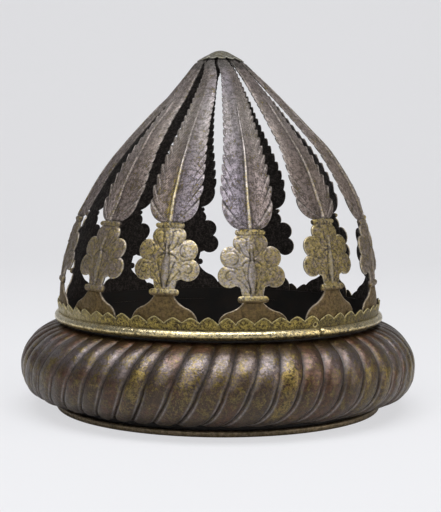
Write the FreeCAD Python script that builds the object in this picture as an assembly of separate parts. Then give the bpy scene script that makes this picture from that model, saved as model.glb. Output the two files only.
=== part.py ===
import FreeCAD, Part
import math
import os

# Open-work copper-gilt parade helmet. Twelve cut-out straps rise from a scalloped band to a lobed cap,
# and a hollow fluted roll, like a wound turban, goes round the head ring below them.
# Millimetres, +Z up, the origin at the centre of the flat rim that the helmet stands on, and -Y the
# front, where strap 01 stands. Every piece is sheet metal of its own thickness.

Vec = FreeCAD.Vector
UP = Vec(0, 0, 1)
ORIGIN = Vec(0, 0, 0)
FULL_TURN = 360.0
HALF_TURN = 180.0
QUARTER_TURN = 90.0
FRONT = -QUARTER_TURN

# Clearances shared by all pieces
fit_gap = 0.05
cut_overrun = 4.0

# Head ring: the plain cylinder that goes round the head
head_radius = 102.6
head_ring_wall = 1.2
head_ring_bottom = 0.6
head_ring_top = 66.8

# Crown straps: the dome's outer line is upright, then one large arc, then two straight slopes
strap_count = 12
strap_wall = 1.2
strap_foot_bottom = 59.0
crown_spring = 73.2
crown_arc_radius = 151.6
crown_slope_normal = 43.8
cap_slope_normal = 60.0
crown_kink_radius = 17.0
strap_tip_radius = 7.0
strap_tip_gap = 0.9

# Cut-out pattern of one strap: foot, lower collar, lobed flower head, upper collar and feather
foot_half_width = 21.0
foot_shoulder_height = 69.2
neck_half_width = 6.4
lower_collar_height = 85.7
lower_collar_width = 18.6
lower_collar_thickness = 4.2
upper_collar_height = 125.0
upper_collar_width = 18.0
upper_collar_thickness = 3.1
collar_rise = 1.2
lobe_heights = (99.2, 110.4, 118.9)
lobe_centres = (14.0, 12.1, 5.5)
lobe_radii = (6.6, 6.5, 5.1)
lobe_root_angle = -126.0
lobe_top_angle = 60.0
stem_half_width = 7.4
stem_flare_height = 92.8
feather_half_width = 16.3
feather_base_half_width = 7.0
feather_base_rise = 0.5
feather_widest_height = 143.0
barb_start_height = 142.0
barb_count = 20
first_barb_depth = 1.5
last_barb_depth = 0.5
first_barb_weight_share = 2.6
midrib_width = 1.8
midrib_tip_width = 0.8
midrib_rise = 0.6
midrib_top = 192.0

# How far the pattern below the feather is set low or high on each strap, as shares of the lower
# collar's thickness: the front strap sits low, as on the hand-cut original
strap_shift_shares = (-0.85, 0.45, -0.1, 0.1, -0.15, 0.05, 0.2, -0.2, 0.1, -0.05, -0.2, 0.0)
# How far each strap is bent sideways, to the right if positive, as shares of the foot's half width
strap_bend_shares = (-0.06, 0.0, 0.02, -0.26, -0.36, -0.26, 0.03, 0.0, -0.12, 0.0, 0.23, 0.04)
# How much of its bend a strap has at a height, as (height share, bend share) pairs from shoulder to kink
bend_line_shares = (
    (0.0, 0.0), (0.11, 0.55), (0.26, 0.9), (0.4, 1.0), (0.52, 1.0), (0.65, 0.7), (0.78, 0.35), (1.0, 0.0)
)
# The foot's side from its shoulder up to its neck, as (width share, height share) pairs
foot_curve_shares = ((0.88, 0.26), (0.51, 0.53), (0.19, 0.75))
# The feather's half width above its widest place, as (height share, width share) pairs
feather_taper_shares = (
    (0.0, 1.0), (0.07, 0.965), (0.22, 0.86), (0.33, 0.77), (0.55, 0.62), (0.7, 0.53), (0.9, 0.345),
    (1.0, 0.265),
)

# Scalloped band round the feet of the straps, with the half-round moulding along its lower edge
band_wall = 1.0
band_bottom = 57.7
band_top = 71.9
band_flare = 1.8
scallop_count = 61
scallop_depth = 3.8
scallop_bulge_share = 0.28
scallop_tip_width = 0.5
seam_angle = 23.6
seam_gap = 0.5
rivet_hole_radius = 1.2
rivet_hole_height = 65.6
rivet_hole_inset = 3.2
moulding_height = 5.8
moulding_depth = 2.9

# Fluted roll: a rounded section that ends on the head ring, sloping above its widest line and full below
# it, embossed with flutes that lean a little above that line and more below it
roll_width = 27.4
roll_widest_height = 30.3
roll_rise = 26.0
roll_drop = 23.7
roll_upper_fullness = 1.8
roll_lower_fullness = 2.37
roll_wall = 1.2
flute_count = 54
flute_depth = 2.6
flute_upper_lean = 4.5
flute_lower_lean = 9.0
flute_across = 7
flute_along = 15
flute_end_share = 0.14

# Bottom rim that the helmet stands on
rim_height = 4.0
rim_width = 4.1
rim_edge_radius = 1.0

# Apex: lobed cap, backing plate and rivet that hold the strap tips
cap_wall = 0.9
cap_radius = 15.2
cap_notch_radius = 1.9
cap_notch_outset = 0.6
cap_crown_radius = 6.0
plate_wall = 1.0
plate_radius = 12.0
rivet_radius = 1.6
rivet_head_radius = 3.0
rivet_head_height = 1.2

# Radii and heights that follow from the sizes above
head_ring_outer = head_radius + head_ring_wall
crown_base_radius = head_ring_outer + fit_gap + strap_wall
band_inner = crown_base_radius + fit_gap
band_outer = band_inner + band_wall
moulding_inner = band_outer + fit_gap
half_pitch = FULL_TURN / strap_count / 2
shell_half_angle = half_pitch + half_pitch / 2


def sine(angle):
    return math.sin(math.radians(angle))


def cosine(angle):
    return math.cos(math.radians(angle))


def revolved(points_and_arcs, angle=FULL_TURN, start=0.0):
    """A solid of revolution about Z from a closed outline of (radius, height) lines and arcs."""
    edges = []
    for item in points_and_arcs:
        corners = [Vec(r, 0, z) for r, z in item]
        if len(corners) == 2:
            edges.append(Part.LineSegment(*corners).toShape())
        else:
            edges.append(Part.Arc(*corners).toShape())
    face = Part.Face(Part.Wire(edges))
    solid = face.revolve(ORIGIN, UP, angle)
    solid.rotate(ORIGIN, UP, start)
    return solid


def ring(points):
    """A full solid of revolution from the corners of its section."""
    return revolved(list(zip(points, points[1:] + points[:1])))


def write(name, shape):
    """Checks a piece, tells its volume and writes it to its own file."""
    if not shape.isValid():
        raise ValueError(name + " is not a valid shape")
    if shape.Volume <= 0:
        raise ValueError(name + " has no volume")
    print(name, len(shape.Solids), "solid", round(shape.Volume), "mm3")
    shape.exportStep(os.path.join("parts", name + ".step"))


# The dome's line

def crown_points(offset):
    """The dome's line, moved inward by offset: foot, spring, arc middle, arc end, kink and tip."""
    arc_centre = crown_base_radius - crown_arc_radius
    reach = crown_arc_radius - offset

    def on_arc(angle):
        return (arc_centre + reach * cosine(angle), crown_spring + reach * sine(angle))

    outer_end = (
        arc_centre + crown_arc_radius * cosine(crown_slope_normal),
        crown_spring + crown_arc_radius * sine(crown_slope_normal),
    )
    rise = (outer_end[0] - crown_kink_radius) / math.tan(math.radians(crown_slope_normal))
    kink_height = outer_end[1] + rise
    miter = 1 + cosine(cap_slope_normal - crown_slope_normal)
    kink = (
        crown_kink_radius - offset * (cosine(crown_slope_normal) + cosine(cap_slope_normal)) / miter,
        kink_height - offset * (sine(crown_slope_normal) + sine(cap_slope_normal)) / miter,
    )
    tip = (
        strap_tip_radius - offset * cosine(cap_slope_normal),
        cap_line_height(strap_tip_radius) - offset * sine(cap_slope_normal),
    )
    return [
        (crown_base_radius - offset, strap_foot_bottom),
        (crown_base_radius - offset, crown_spring),
        on_arc(crown_slope_normal / 2),
        on_arc(crown_slope_normal),
        kink,
        tip,
    ]


def cap_line_height(radius):
    """Height of the straps' outer line under the cap, at a radius inside the kink."""
    arc_end_radius = crown_base_radius - crown_arc_radius * (1 - cosine(crown_slope_normal))
    arc_end_height = crown_spring + crown_arc_radius * sine(crown_slope_normal)
    slope_rise = (arc_end_radius - crown_kink_radius) / math.tan(math.radians(crown_slope_normal))
    cap_rise = (crown_kink_radius - radius) / math.tan(math.radians(cap_slope_normal))
    return arc_end_height + slope_rise + cap_rise


def crown_radius_at(height):
    """Outer radius of the dome at a height."""
    if height <= crown_spring:
        return crown_base_radius
    arc_end_height = crown_spring + crown_arc_radius * sine(crown_slope_normal)
    if height <= arc_end_height:
        up = height - crown_spring
        return crown_base_radius - crown_arc_radius + math.sqrt(crown_arc_radius ** 2 - up ** 2)
    kink_height = cap_line_height(crown_kink_radius)
    if height <= kink_height:
        return crown_kink_radius + (kink_height - height) * math.tan(math.radians(crown_slope_normal))
    return crown_kink_radius - (height - kink_height) * math.tan(math.radians(cap_slope_normal))


def crown_shell(outward, inward):
    """A sector of the dome, wide enough for a bent strap, between two offsets of its line."""
    outer = crown_points(-outward)
    inner = crown_points(inward)
    outline = [
        (outer[0], outer[1]),
        (outer[1], outer[2], outer[3]),
        (outer[3], outer[4]),
        (outer[4], outer[5]),
        (outer[5], inner[5]),
        (inner[5], inner[4]),
        (inner[4], inner[3]),
        (inner[3], inner[2], inner[1]),
        (inner[1], inner[0]),
        (inner[0], outer[0]),
    ]
    return revolved(outline, shell_half_angle * 2, FRONT - shell_half_angle)


# The straps

def on_line(pairs, share):
    """The second value of a line of pairs where its first value is share."""
    for (low, low_value), (high, high_value) in zip(pairs, pairs[1:]):
        if share <= high:
            return low_value + (high_value - low_value) * max(0.0, share - low) / (high - low)
    return pairs[-1][1]


def bend_height(share):
    """Height at a share of the way from the foot's shoulder to the dome's kink."""
    return foot_shoulder_height + (cap_line_height(crown_kink_radius) - foot_shoulder_height) * share


def bend_at(height, bend):
    """How far a strap's middle line lies to the side at a height."""
    share = (height - foot_shoulder_height) / (bend_height(1.0) - foot_shoulder_height)
    return bend * on_line(bend_line_shares, share)


def feather_half_at(height, feather_bottom):
    """Half width of the feather's smooth envelope at a height, kept clear of the next strap."""
    if height <= feather_widest_height:
        share = (feather_widest_height - height) / (feather_widest_height - feather_bottom)
        spread = math.sqrt(max(0.0, 1 - share ** 2))
        half = feather_base_half_width + (feather_half_width - feather_base_half_width) * spread
    else:
        top = cap_line_height(crown_kink_radius)
        share = (height - feather_widest_height) / (top - feather_widest_height)
        half = feather_half_width * on_line(feather_taper_shares, share)
    room = crown_radius_at(height) * math.tan(math.radians(half_pitch)) - strap_tip_gap / 2
    return min(half, room)


def barb_heights():
    """Heights of the notches between the barbs, wide apart at the bottom and close at the top."""
    top = cap_line_height(cap_radius)
    weights = [
        1 + (first_barb_weight_share - 1) * (1 - i / (barb_count - 1)) ** 2 for i in range(barb_count)
    ]
    unit = (top - barb_start_height) / sum(weights)
    heights = [barb_start_height]
    for weight in weights:
        heights.append(heights[-1] + weight * unit)
    return heights


def barb_edge(feather_bottom):
    """Right edge of the feather from its first notch to its tip, as arcs and short steps."""
    heights = barb_heights()
    edge = []
    for i, (low, high) in enumerate(zip(heights, heights[1:])):
        depth = first_barb_depth + (last_barb_depth - first_barb_depth) * i / (barb_count - 1)
        next_depth = first_barb_depth + (last_barb_depth - first_barb_depth) * (i + 1) / (barb_count - 1)
        start = (feather_half_at(low, feather_bottom) - depth, low)
        middle_height = (low + high) / 2
        middle = (feather_half_at(middle_height, feather_bottom), middle_height)
        tip = (feather_half_at(high, feather_bottom), high)
        edge.append((start, middle, tip))
        if i < barb_count - 1:
            edge.append((tip, (feather_half_at(high, feather_bottom) - next_depth, high)))
    return edge


def lobe_crossing(low, high):
    """The outer point where two lobes' circles meet."""
    x1, z1, r1 = lobe_centres[low], lobe_heights[low], lobe_radii[low]
    x2, z2, r2 = lobe_centres[high], lobe_heights[high], lobe_radii[high]
    gap = math.hypot(x2 - x1, z2 - z1)
    along = (r1 ** 2 - r2 ** 2 + gap ** 2) / (2 * gap)
    across = math.sqrt(r1 ** 2 - along ** 2)
    ux, uz = (x2 - x1) / gap, (z2 - z1) / gap
    return (x1 + ux * along + uz * across, z1 + uz * along - ux * across)


def lobe_arc(index, start, end):
    """An arc of one lobe, from start to end by way of its outer side."""
    x, z, r = lobe_centres[index], lobe_heights[index], lobe_radii[index]
    a = math.atan2(start[1] - z, start[0] - x)
    b = math.atan2(end[1] - z, end[0] - x)
    middle = (a + b) / 2
    return (start, (x + r * math.cos(middle), z + r * math.sin(middle)), end)


def on_lobe(index, angle):
    return (
        lobe_centres[index] + lobe_radii[index] * cosine(angle),
        lobe_heights[index] + lobe_radii[index] * sine(angle),
    )


def right_edge(shift):
    """The strap's right edge from foot to tip, as lines and arcs of (across, height) points.

    The pattern from the foot's neck to the upper collar is moved up by shift.
    """
    lower_neck = lower_collar_height - lower_collar_thickness / 2
    stem_bottom = lower_collar_height + lower_collar_thickness / 2
    head_top = upper_collar_height - upper_collar_thickness / 2
    feather_bottom = upper_collar_height + upper_collar_thickness / 2 + shift
    shoulder = (foot_half_width, foot_shoulder_height)
    neck = (neck_half_width, lower_neck + shift)
    flare, middle, hollow = [
        (
            neck_half_width + (foot_half_width - neck_half_width) * across,
            foot_shoulder_height + (lower_neck + shift - foot_shoulder_height) * up,
        )
        for across, up in foot_curve_shares
    ]
    foot = [
        ((foot_half_width, strap_foot_bottom), shoulder),
        (shoulder, flare, middle),
        (middle, hollow, neck),
    ]
    under_lobe = on_lobe(0, lobe_root_angle)
    first_cross = lobe_crossing(0, 1)
    second_cross = lobe_crossing(1, 2)
    shoulder_end = on_lobe(2, lobe_top_angle)
    head = [
        ((neck_half_width, lower_neck), (neck_half_width, stem_bottom)),
        ((neck_half_width, stem_bottom), (stem_half_width, stem_flare_height)),
        ((stem_half_width, stem_flare_height), under_lobe),
        lobe_arc(0, under_lobe, first_cross),
        lobe_arc(1, first_cross, second_cross),
        lobe_arc(2, second_cross, shoulder_end),
        (shoulder_end, (neck_half_width, head_top)),
        ((neck_half_width, head_top), (neck_half_width, feather_bottom - shift)),
    ]
    head = [tuple((x, z + shift) for x, z in item) for item in head]
    barbs = barb_edge(feather_bottom)
    base_top = feather_bottom + feather_base_rise
    middle_height = (base_top + barb_start_height) / 2
    tip_height = cap_line_height(strap_tip_radius - strap_wall) + cut_overrun
    tip_half = strap_tip_radius * math.tan(math.radians(half_pitch)) - strap_tip_gap / 2
    feather = [
        ((neck_half_width, feather_bottom), (feather_base_half_width, base_top)),
        (
            (feather_base_half_width, base_top),
            (feather_half_at(middle_height, feather_bottom), middle_height),
            barbs[0][0],
        ),
        *barbs,
        (barbs[-1][-1], (tip_half, cap_line_height(strap_tip_radius))),
        ((tip_half, cap_line_height(strap_tip_radius)), (tip_half, tip_height)),
    ]
    return foot + head + feather


def prism(edge, reach, bend=0.0):
    """A prism towards the front, whose outline is an edge and its mirror image, bent sideways."""
    mirrored = [tuple((-x, z) for x, z in reversed(item)) for item in reversed(edge)]
    outline = edge + [(edge[-1][-1], mirrored[0][0])] + mirrored
    if edge[0][0][0] != 0:
        outline.append((mirrored[-1][-1], edge[0][0]))
    edges = []
    for item in outline:
        corners = [Vec(x + bend_at(z, bend), 0, z) for x, z in item]
        if len(corners) == 2:
            edges.append(Part.LineSegment(*corners).toShape())
        else:
            edges.append(Part.Arc(*corners).toShape())
    return Part.Face(Part.Wire(edges)).extrude(Vec(0, -reach, 0))


def collar(height, width, thickness, bend):
    """A half-round bead across a strap, standing proud of the face, with rounded ends."""
    radius = thickness / 2
    back = crown_radius_at(height) + collar_rise - radius
    section = [
        ((back, height - radius), (back + radius, height), (back, height + radius)),
        ((back, height + radius), (back, height - radius)),
    ]
    angle = math.degrees(width / back)
    middle = FRONT + math.degrees(bend_at(height, bend) / back)
    bead = revolved(section, angle, middle - angle / 2)
    straight = width / 2 - radius
    end = [((straight, height - radius), (straight + radius, height), (straight, height + radius))]
    return bead.common(prism(end, crown_base_radius + cut_overrun, bend))


def midrib(shift, bend):
    """The raised rib up the middle of the feather."""
    bottom = upper_collar_height + shift
    heights = [bottom]
    for share, _ in bend_line_shares:
        if bottom < bend_height(share) < midrib_top:
            heights.append(bend_height(share))
    heights.append(midrib_top)
    points = []
    for height in heights:
        tapered = (height - bottom) / (midrib_top - bottom)
        points.append(((midrib_width + (midrib_tip_width - midrib_width) * tapered) / 2, height))
    half = list(zip(points, points[1:]))
    blade = prism(half, crown_base_radius + cut_overrun, bend)
    return crown_shell(midrib_rise, strap_wall / 2).common(blade)


def strap(shift, bend, shell):
    """One strap at the front of the helmet, cut from the dome, with its collars and midrib."""
    body = shell.common(prism(right_edge(shift), crown_base_radius + cut_overrun, bend))
    raised = [
        collar(lower_collar_height + shift, lower_collar_width, lower_collar_thickness, bend),
        collar(upper_collar_height + shift, upper_collar_width, upper_collar_thickness, bend),
        midrib(shift, bend),
    ]
    return body.fuse(raised)


def make_straps():
    shell = crown_shell(0.0, strap_wall)
    places = zip(strap_shift_shares[:strap_count], strap_bend_shares)
    for index, (shift_share, bend_share) in enumerate(places):
        piece = strap(shift_share * lower_collar_thickness, bend_share * foot_half_width, shell)
        piece.rotate(ORIGIN, UP, index * 2 * half_pitch)
        write("crown_strap_%02d" % (index + 1), piece)


# The band, its moulding, the head ring and the rim

def seam_cutter(low, high, inner, outer):
    """A thin block that parts a ring at the seam."""
    block = Part.makeBox(seam_gap, outer - inner + 2 * cut_overrun, high - low + 2 * cut_overrun)
    block.translate(Vec(-seam_gap / 2, -outer - cut_overrun, low - cut_overrun))
    block.rotate(ORIGIN, UP, seam_angle)
    return block


def scallop_gap():
    """The piece cut out between two scallop tips, with the scallops' own rounded sides."""
    half = math.pi * band_inner / scallop_count - scallop_tip_width / 2
    valley = band_top - scallop_depth
    bulge = half * scallop_bulge_share
    side = [
        ((0, valley), (half / 2 - bulge, valley + scallop_depth / 2), (half, band_top)),
        ((half, band_top), (half, band_top + cut_overrun)),
    ]
    gap = prism(side, band_outer + band_flare + cut_overrun)
    return gap.cut(Part.makeCylinder(band_inner - cut_overrun, band_top + 2 * cut_overrun))


def scalloped_band():
    """A sleeve whose scalloped upper part leans out from above the moulding."""
    upright_top = band_bottom + moulding_height
    tip = band_outer + band_flare
    sleeve = ring(
        [
            (band_inner, band_bottom),
            (band_outer, band_bottom),
            (band_outer, upright_top),
            (tip, band_top),
            (tip - band_wall, band_top),
            (band_inner, upright_top),
        ]
    )
    gap = scallop_gap()
    cutters = []
    for index in range(scallop_count):
        cutter = gap.copy()
        cutter.rotate(ORIGIN, UP, seam_angle + index * FULL_TURN / scallop_count)
        cutters.append(cutter)
    hole = Part.makeCylinder(
        rivet_hole_radius, tip + cut_overrun, Vec(0, 0, rivet_hole_height), Vec(0, -1, 0)
    )
    hole.rotate(ORIGIN, UP, seam_angle - math.degrees(rivet_hole_inset / band_outer))
    seam = seam_cutter(band_bottom, band_top, band_inner, tip)
    return sleeve.cut(cutters + [hole, seam])


def base_moulding():
    """Half-round wire along the band's lower edge, parted at the same seam."""
    top = band_bottom + moulding_height
    middle = (moulding_inner + moulding_depth, band_bottom + moulding_height / 2)
    section = [
        ((moulding_inner, band_bottom), middle, (moulding_inner, top)),
        ((moulding_inner, top), (moulding_inner, band_bottom)),
    ]
    wire = revolved(section)
    return wire.cut(seam_cutter(band_bottom, top, moulding_inner, middle[0]))


def head_ring():
    return ring(
        [
            (head_radius, head_ring_bottom),
            (head_ring_outer, head_ring_bottom),
            (head_ring_outer, head_ring_top),
            (head_radius, head_ring_top),
        ]
    )


def bottom_rim():
    """Thick wire round the foot of the head ring, with its upper outer edge rounded."""
    inner = head_ring_outer + fit_gap
    outer = inner + rim_width
    shoulder = rim_edge_radius * (1 - cosine(QUARTER_TURN / 2))
    rounded = (
        (outer, rim_height - rim_edge_radius),
        (outer - shoulder, rim_height - shoulder),
        (outer - rim_edge_radius, rim_height),
    )
    return revolved(
        [
            ((inner, 0), (outer, 0)),
            ((outer, 0), rounded[0]),
            rounded,
            (rounded[2], (inner, rim_height)),
            ((inner, rim_height), (inner, 0)),
        ]
    )


# The fluted roll

def roll_place(along):
    """How far out and up the section is, as shares, from its top at 0 to its bottom at 1."""
    upright = cosine(along * HALF_TURN)
    fullness = roll_upper_fullness if upright > 0 else roll_lower_fullness
    outward = abs(sine(along * HALF_TURN)) ** (2 / fullness)
    return outward, math.copysign(abs(upright) ** (2 / fullness), upright)


def flute_lean(along):
    """How far round a flute has leant, in degrees from its place at the widest line."""
    down = 2 * along - 1
    even = (flute_upper_lean + flute_lower_lean) / 2
    extra = (flute_lower_lean - flute_upper_lean) / 2
    return -even * down - extra * down ** 2


def roll_grid(inset):
    """Points of one flute's skin, inset from the crests: rows run across it, from top to bottom."""
    inner = head_ring_outer + fit_gap
    rows = []
    for j in range(flute_along):
        along = j / (flute_along - 1)
        rise = min(1.0, along / flute_end_share, (1 - along) / flute_end_share)
        depth = flute_depth * sine(rise * QUARTER_TURN)
        outward, upward = roll_place(along)
        if j in (0, flute_along - 1):
            outward = 0.0
        row = []
        for i in range(flute_across):
            across = 2 * i / (flute_across - 1) - 1
            groove = inset + depth * across ** 2
            reach = inner + (roll_width - groove) * outward
            turn = FRONT + flute_lean(along) + across * HALF_TURN / flute_count
            extent = roll_rise if upward > 0 else roll_drop
            height = roll_widest_height + (extent - groove) * upward
            row.append(Vec(reach * cosine(turn), reach * sine(turn), height))
        rows.append(row)
    return rows


def roll_skin(inset):
    """One flute's skin as a face through its grid of points."""
    skin = Part.BSplineSurface()
    skin.interpolate(roll_grid(inset))
    return skin.toShape()


def flute_faces():
    """The four faces of one flute: outer skin, inner skin, and the edges at the top and bottom."""
    outer_skin = roll_skin(0.0)
    inner_skin = roll_skin(roll_wall)
    faces = [outer_skin, inner_skin]
    for end in (0, 2):
        faces.append(Part.makeRuledSurface(outer_skin.Edges[end], inner_skin.Edges[end]))
    return faces


def turban_roll():
    faces = []
    for index in range(flute_count):
        for face in flute_faces():
            face.rotate(ORIGIN, UP, index * FULL_TURN / flute_count)
            faces.append(face)
    skin = Part.Compound(faces)
    skin.sewShape()
    shell = skin.Shells[0] if skin.ShapeType != "Shell" else skin
    solid = Part.Solid(shell)
    if solid.Volume < 0:
        solid.reverse()
    return solid


# The apex

def domed_disc(low, high, rim_radius):
    """A disc that follows the straps under the cap, between two offsets above their outer face."""
    centre_height = cap_line_height(cap_crown_radius) - cap_crown_radius * math.tan(
        math.radians(cap_slope_normal)
    )
    crown = cap_crown_radius / cosine(cap_slope_normal)
    halfway = (QUARTER_TURN + cap_slope_normal) / 2

    def at(offset, angle):
        return ((crown + offset) * cosine(angle), centre_height + (crown + offset) * sine(angle))

    def on_rim(offset):
        return (
            rim_radius + offset * cosine(cap_slope_normal),
            cap_line_height(rim_radius) + offset * sine(cap_slope_normal),
        )

    top_low = (0, centre_height + crown + low)
    top_high = (0, centre_height + crown + high)
    return revolved(
        [
            (top_low, at(low, halfway), at(low, cap_slope_normal)),
            (at(low, cap_slope_normal), on_rim(low)),
            (on_rim(low), on_rim(high)),
            (on_rim(high), at(high, cap_slope_normal)),
            (at(high, cap_slope_normal), at(high, halfway), top_high),
            (top_high, top_low),
        ]
    )


def rivet_hole():
    return Part.makeCylinder(
        rivet_radius + fit_gap,
        cap_line_height(0) + cut_overrun,
        ORIGIN,
        UP,
    )


def apex_cap():
    """Thin domed cap whose edge has one lobe over each strap."""
    dome = domed_disc(fit_gap, fit_gap + cap_wall, cap_radius)
    notches = []
    for index in range(strap_count):
        bite = Part.makeCylinder(cap_notch_radius, 2 * cap_radius)
        bite.translate(Vec(0, -cap_radius - cap_notch_outset, cap_line_height(cap_radius) - cap_radius))
        bite.rotate(ORIGIN, UP, (index + 0.5) * 2 * half_pitch)
        notches.append(bite)
    return dome.cut(notches + [rivet_hole()])


def backing_plate():
    """Domed plate inside the crown, under the strap tips."""
    top = -strap_wall - fit_gap
    return domed_disc(top - plate_wall, top, plate_radius).cut(rivet_hole())


def apex_rivet():
    """Rivet through the cap and the backing plate, filed flush outside and peened inside."""
    centre_height = cap_line_height(cap_crown_radius) - cap_crown_radius * math.tan(
        math.radians(cap_slope_normal)
    )
    crown = cap_crown_radius / cosine(cap_slope_normal)
    top = centre_height + crown + fit_gap + cap_wall
    under_plate = centre_height + crown - strap_wall - fit_gap - plate_wall - fit_gap
    return ring(
        [
            (0, under_plate - rivet_head_height),
            (rivet_head_radius, under_plate - rivet_head_height),
            (rivet_head_radius, under_plate - rivet_head_height / 2),
            (rivet_radius, under_plate),
            (rivet_radius, top - fit_gap),
            (0, top),
        ]
    )


def main():
    os.makedirs("parts", exist_ok=True)
    make_straps()
    write("scalloped_band", scalloped_band())
    write("base_moulding", base_moulding())
    write("head_ring", head_ring())
    write("turban_roll", turban_roll())
    write("bottom_rim", bottom_rim())
    write("apex_cap", apex_cap())
    write("apex_backing_plate", backing_plate())
    write("apex_rivet", apex_rivet())


main()
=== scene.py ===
import math

import bpy
import numpy as np
from mathutils import Matrix, Vector, kdtree
from mathutils import noise as field
from mathutils.geometry import delaunay_2d_cdt


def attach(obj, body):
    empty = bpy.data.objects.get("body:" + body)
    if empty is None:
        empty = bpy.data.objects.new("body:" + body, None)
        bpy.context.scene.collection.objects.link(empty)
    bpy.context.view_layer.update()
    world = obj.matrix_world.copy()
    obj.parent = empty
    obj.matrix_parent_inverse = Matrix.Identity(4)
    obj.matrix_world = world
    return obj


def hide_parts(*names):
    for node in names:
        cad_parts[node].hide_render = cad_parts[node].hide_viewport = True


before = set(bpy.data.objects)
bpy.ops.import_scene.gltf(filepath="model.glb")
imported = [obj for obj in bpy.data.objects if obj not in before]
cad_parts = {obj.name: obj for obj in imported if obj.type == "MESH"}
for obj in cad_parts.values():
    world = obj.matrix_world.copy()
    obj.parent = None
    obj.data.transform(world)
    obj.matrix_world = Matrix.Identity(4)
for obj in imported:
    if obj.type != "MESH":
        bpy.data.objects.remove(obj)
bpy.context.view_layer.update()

# Open-work parade helmet of gilt copper. Twelve cut-out straps rise from a scalloped band to a lobed cap
# above a fluted roll. The values are millimetres and degrees, as in the construction, and MM turns them
# into the scene's metres.
MM = 0.001
TAU = 2 * math.pi
FRONT = -90.0

# The dome's line
CROWN_BASE = 105.05
CROWN_SPRING = 73.2
CROWN_ARC = 151.6
CROWN_SLOPE = 43.8
CAP_SLOPE = 60.0
KINK_RADIUS = 17.0
TIP_RADIUS = 7.0
TIP_GAP = 0.9
STRAP_WALL = 1.2
STRAP_COUNT = 12
HALF_PITCH = 180.0 / STRAP_COUNT

# One strap's pattern
FOOT_BOTTOM = 59.0
FOOT_HALF = 21.0
FOOT_SHOULDER = 69.2
NECK_HALF = 6.4
LOWER_COLLAR, LOWER_WIDTH, LOWER_THICK = 85.7, 18.6, 4.2
UPPER_COLLAR, UPPER_WIDTH, UPPER_THICK = 125.0, 18.0, 3.1
COLLAR_RISE = 1.2
LOBE_HEIGHTS = (99.2, 110.4, 118.9)
LOBE_CENTRES = (14.0, 12.1, 5.5)
LOBE_RADII = (6.6, 6.5, 5.1)
STEM_HALF = 7.4
STEM_FLARE = 92.8
FEATHER_HALF = 16.3
FEATHER_BASE_HALF = 7.0
FEATHER_BASE_RISE = 0.5
FEATHER_WIDEST = 143.0
BARB_START = 142.0
BARB_COUNT = 20
FIRST_BARB, LAST_BARB = 1.5, 0.5
FIRST_BARB_WEIGHT = 2.6
MIDRIB_HALF, MIDRIB_TIP_HALF, MIDRIB_RISE, MIDRIB_TOP = 1.05, 0.45, 0.7, 207.0
FOOT_CURVE = ((0.88, 0.26), (0.51, 0.53), (0.19, 0.75))
FEATHER_TAPER = (
    (0.0, 1.0), (0.07, 0.965), (0.22, 0.86), (0.33, 0.77), (0.55, 0.62), (0.7, 0.53), (0.9, 0.345),
    (1.0, 0.265),
)

# How each strap differs, from strap 01 on: its pattern set high or low, bent sideways as a whole, near its
# top and at its tip, narrowed near its top, and pushed in or out. Each line says how much of it at which
# share of the strap's height.
SHIFTS = (-0.85, 0.45, -0.1, 0.1, -0.15, 0.05, 0.2, -0.2, 0.1, -0.05, -0.2, 0.0)
BENDS = (-0.06, 0.0, 0.02, -0.26, -0.36, -0.26, 0.03, 0.0, -0.12, 0.0, 0.23, 0.04)
BEND_LINE = (
    (0.0, 0.0), (0.11, 0.55), (0.26, 0.9), (0.4, 1.0), (0.52, 1.0), (0.65, 0.7), (0.78, 0.35), (1.0, 0.0),
)
TOP_BENDS = (0.09, 0.12, 0.03, 0.0, 0.0, 0.03, 0.12, 0.04, 0.0, 0.0, -0.12, 0.06)
TOP_LINE = ((0.45, 0.0), (0.58, 0.5), (0.65, 0.8), (0.84, 1.0), (0.95, 0.7), (1.0, 0.3))
TIP_BENDS = (-0.09, -0.04, 0.04, 0.0, 0.0, 0.0, -0.12, 0.0, 0.0, 0.0, -0.1, -0.13)
TIP_LINE = ((0.9, 0.0), (0.95, 0.15), (0.975, 0.4), (1.0, 1.0))
NARROWS = (0.0, 0.08, 0.16, 0.06, 0.02, 0.0, 0.14, 0.0, 0.03, 0.08, 0.12, 0.13)
NARROW_LINE = ((0.6, 0.0), (0.8, 1.0), (1.0, 1.0))
PUSHES = (0.0, 0.3, 1.6, 2.8, 2.2, 0.5, 0.0, -2.0, -4.0, -5.2, -4.4, -1.5)
PUSH_LINE = ((0.0, 0.0), (0.1, 0.0), (0.45, 0.75), (0.65, 1.0), (0.85, 0.8), (1.0, 0.0))

# Finish of each strap: gilding left on its head, collars and feather, and how bare its head's leaf is
HEAD_GILT = (0.5, 0.62, 0.22, 0.5, 0.6, 0.5, 0.65, 0.5, 0.5, 0.2, 0.36, 0.6)
COLLAR_GILT = (0.9, 0.75, 0.4, 0.6, 0.7, 0.6, 0.7, 0.6, 0.5, 0.35, 0.5, 0.8)
FEATHER_GILT = (0.0, 0.0, 0.05, 0.1, 0.08, 0.12, 0.1, 0.08, 0.12, 0.05, 0.03, 0.06)
STEM_BARE = (0.6, 0.1, 0.2, 0.3, 0.3, 0.3, 0.3, 0.3, 0.3, 0.3, 0.2, 0.5)
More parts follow.
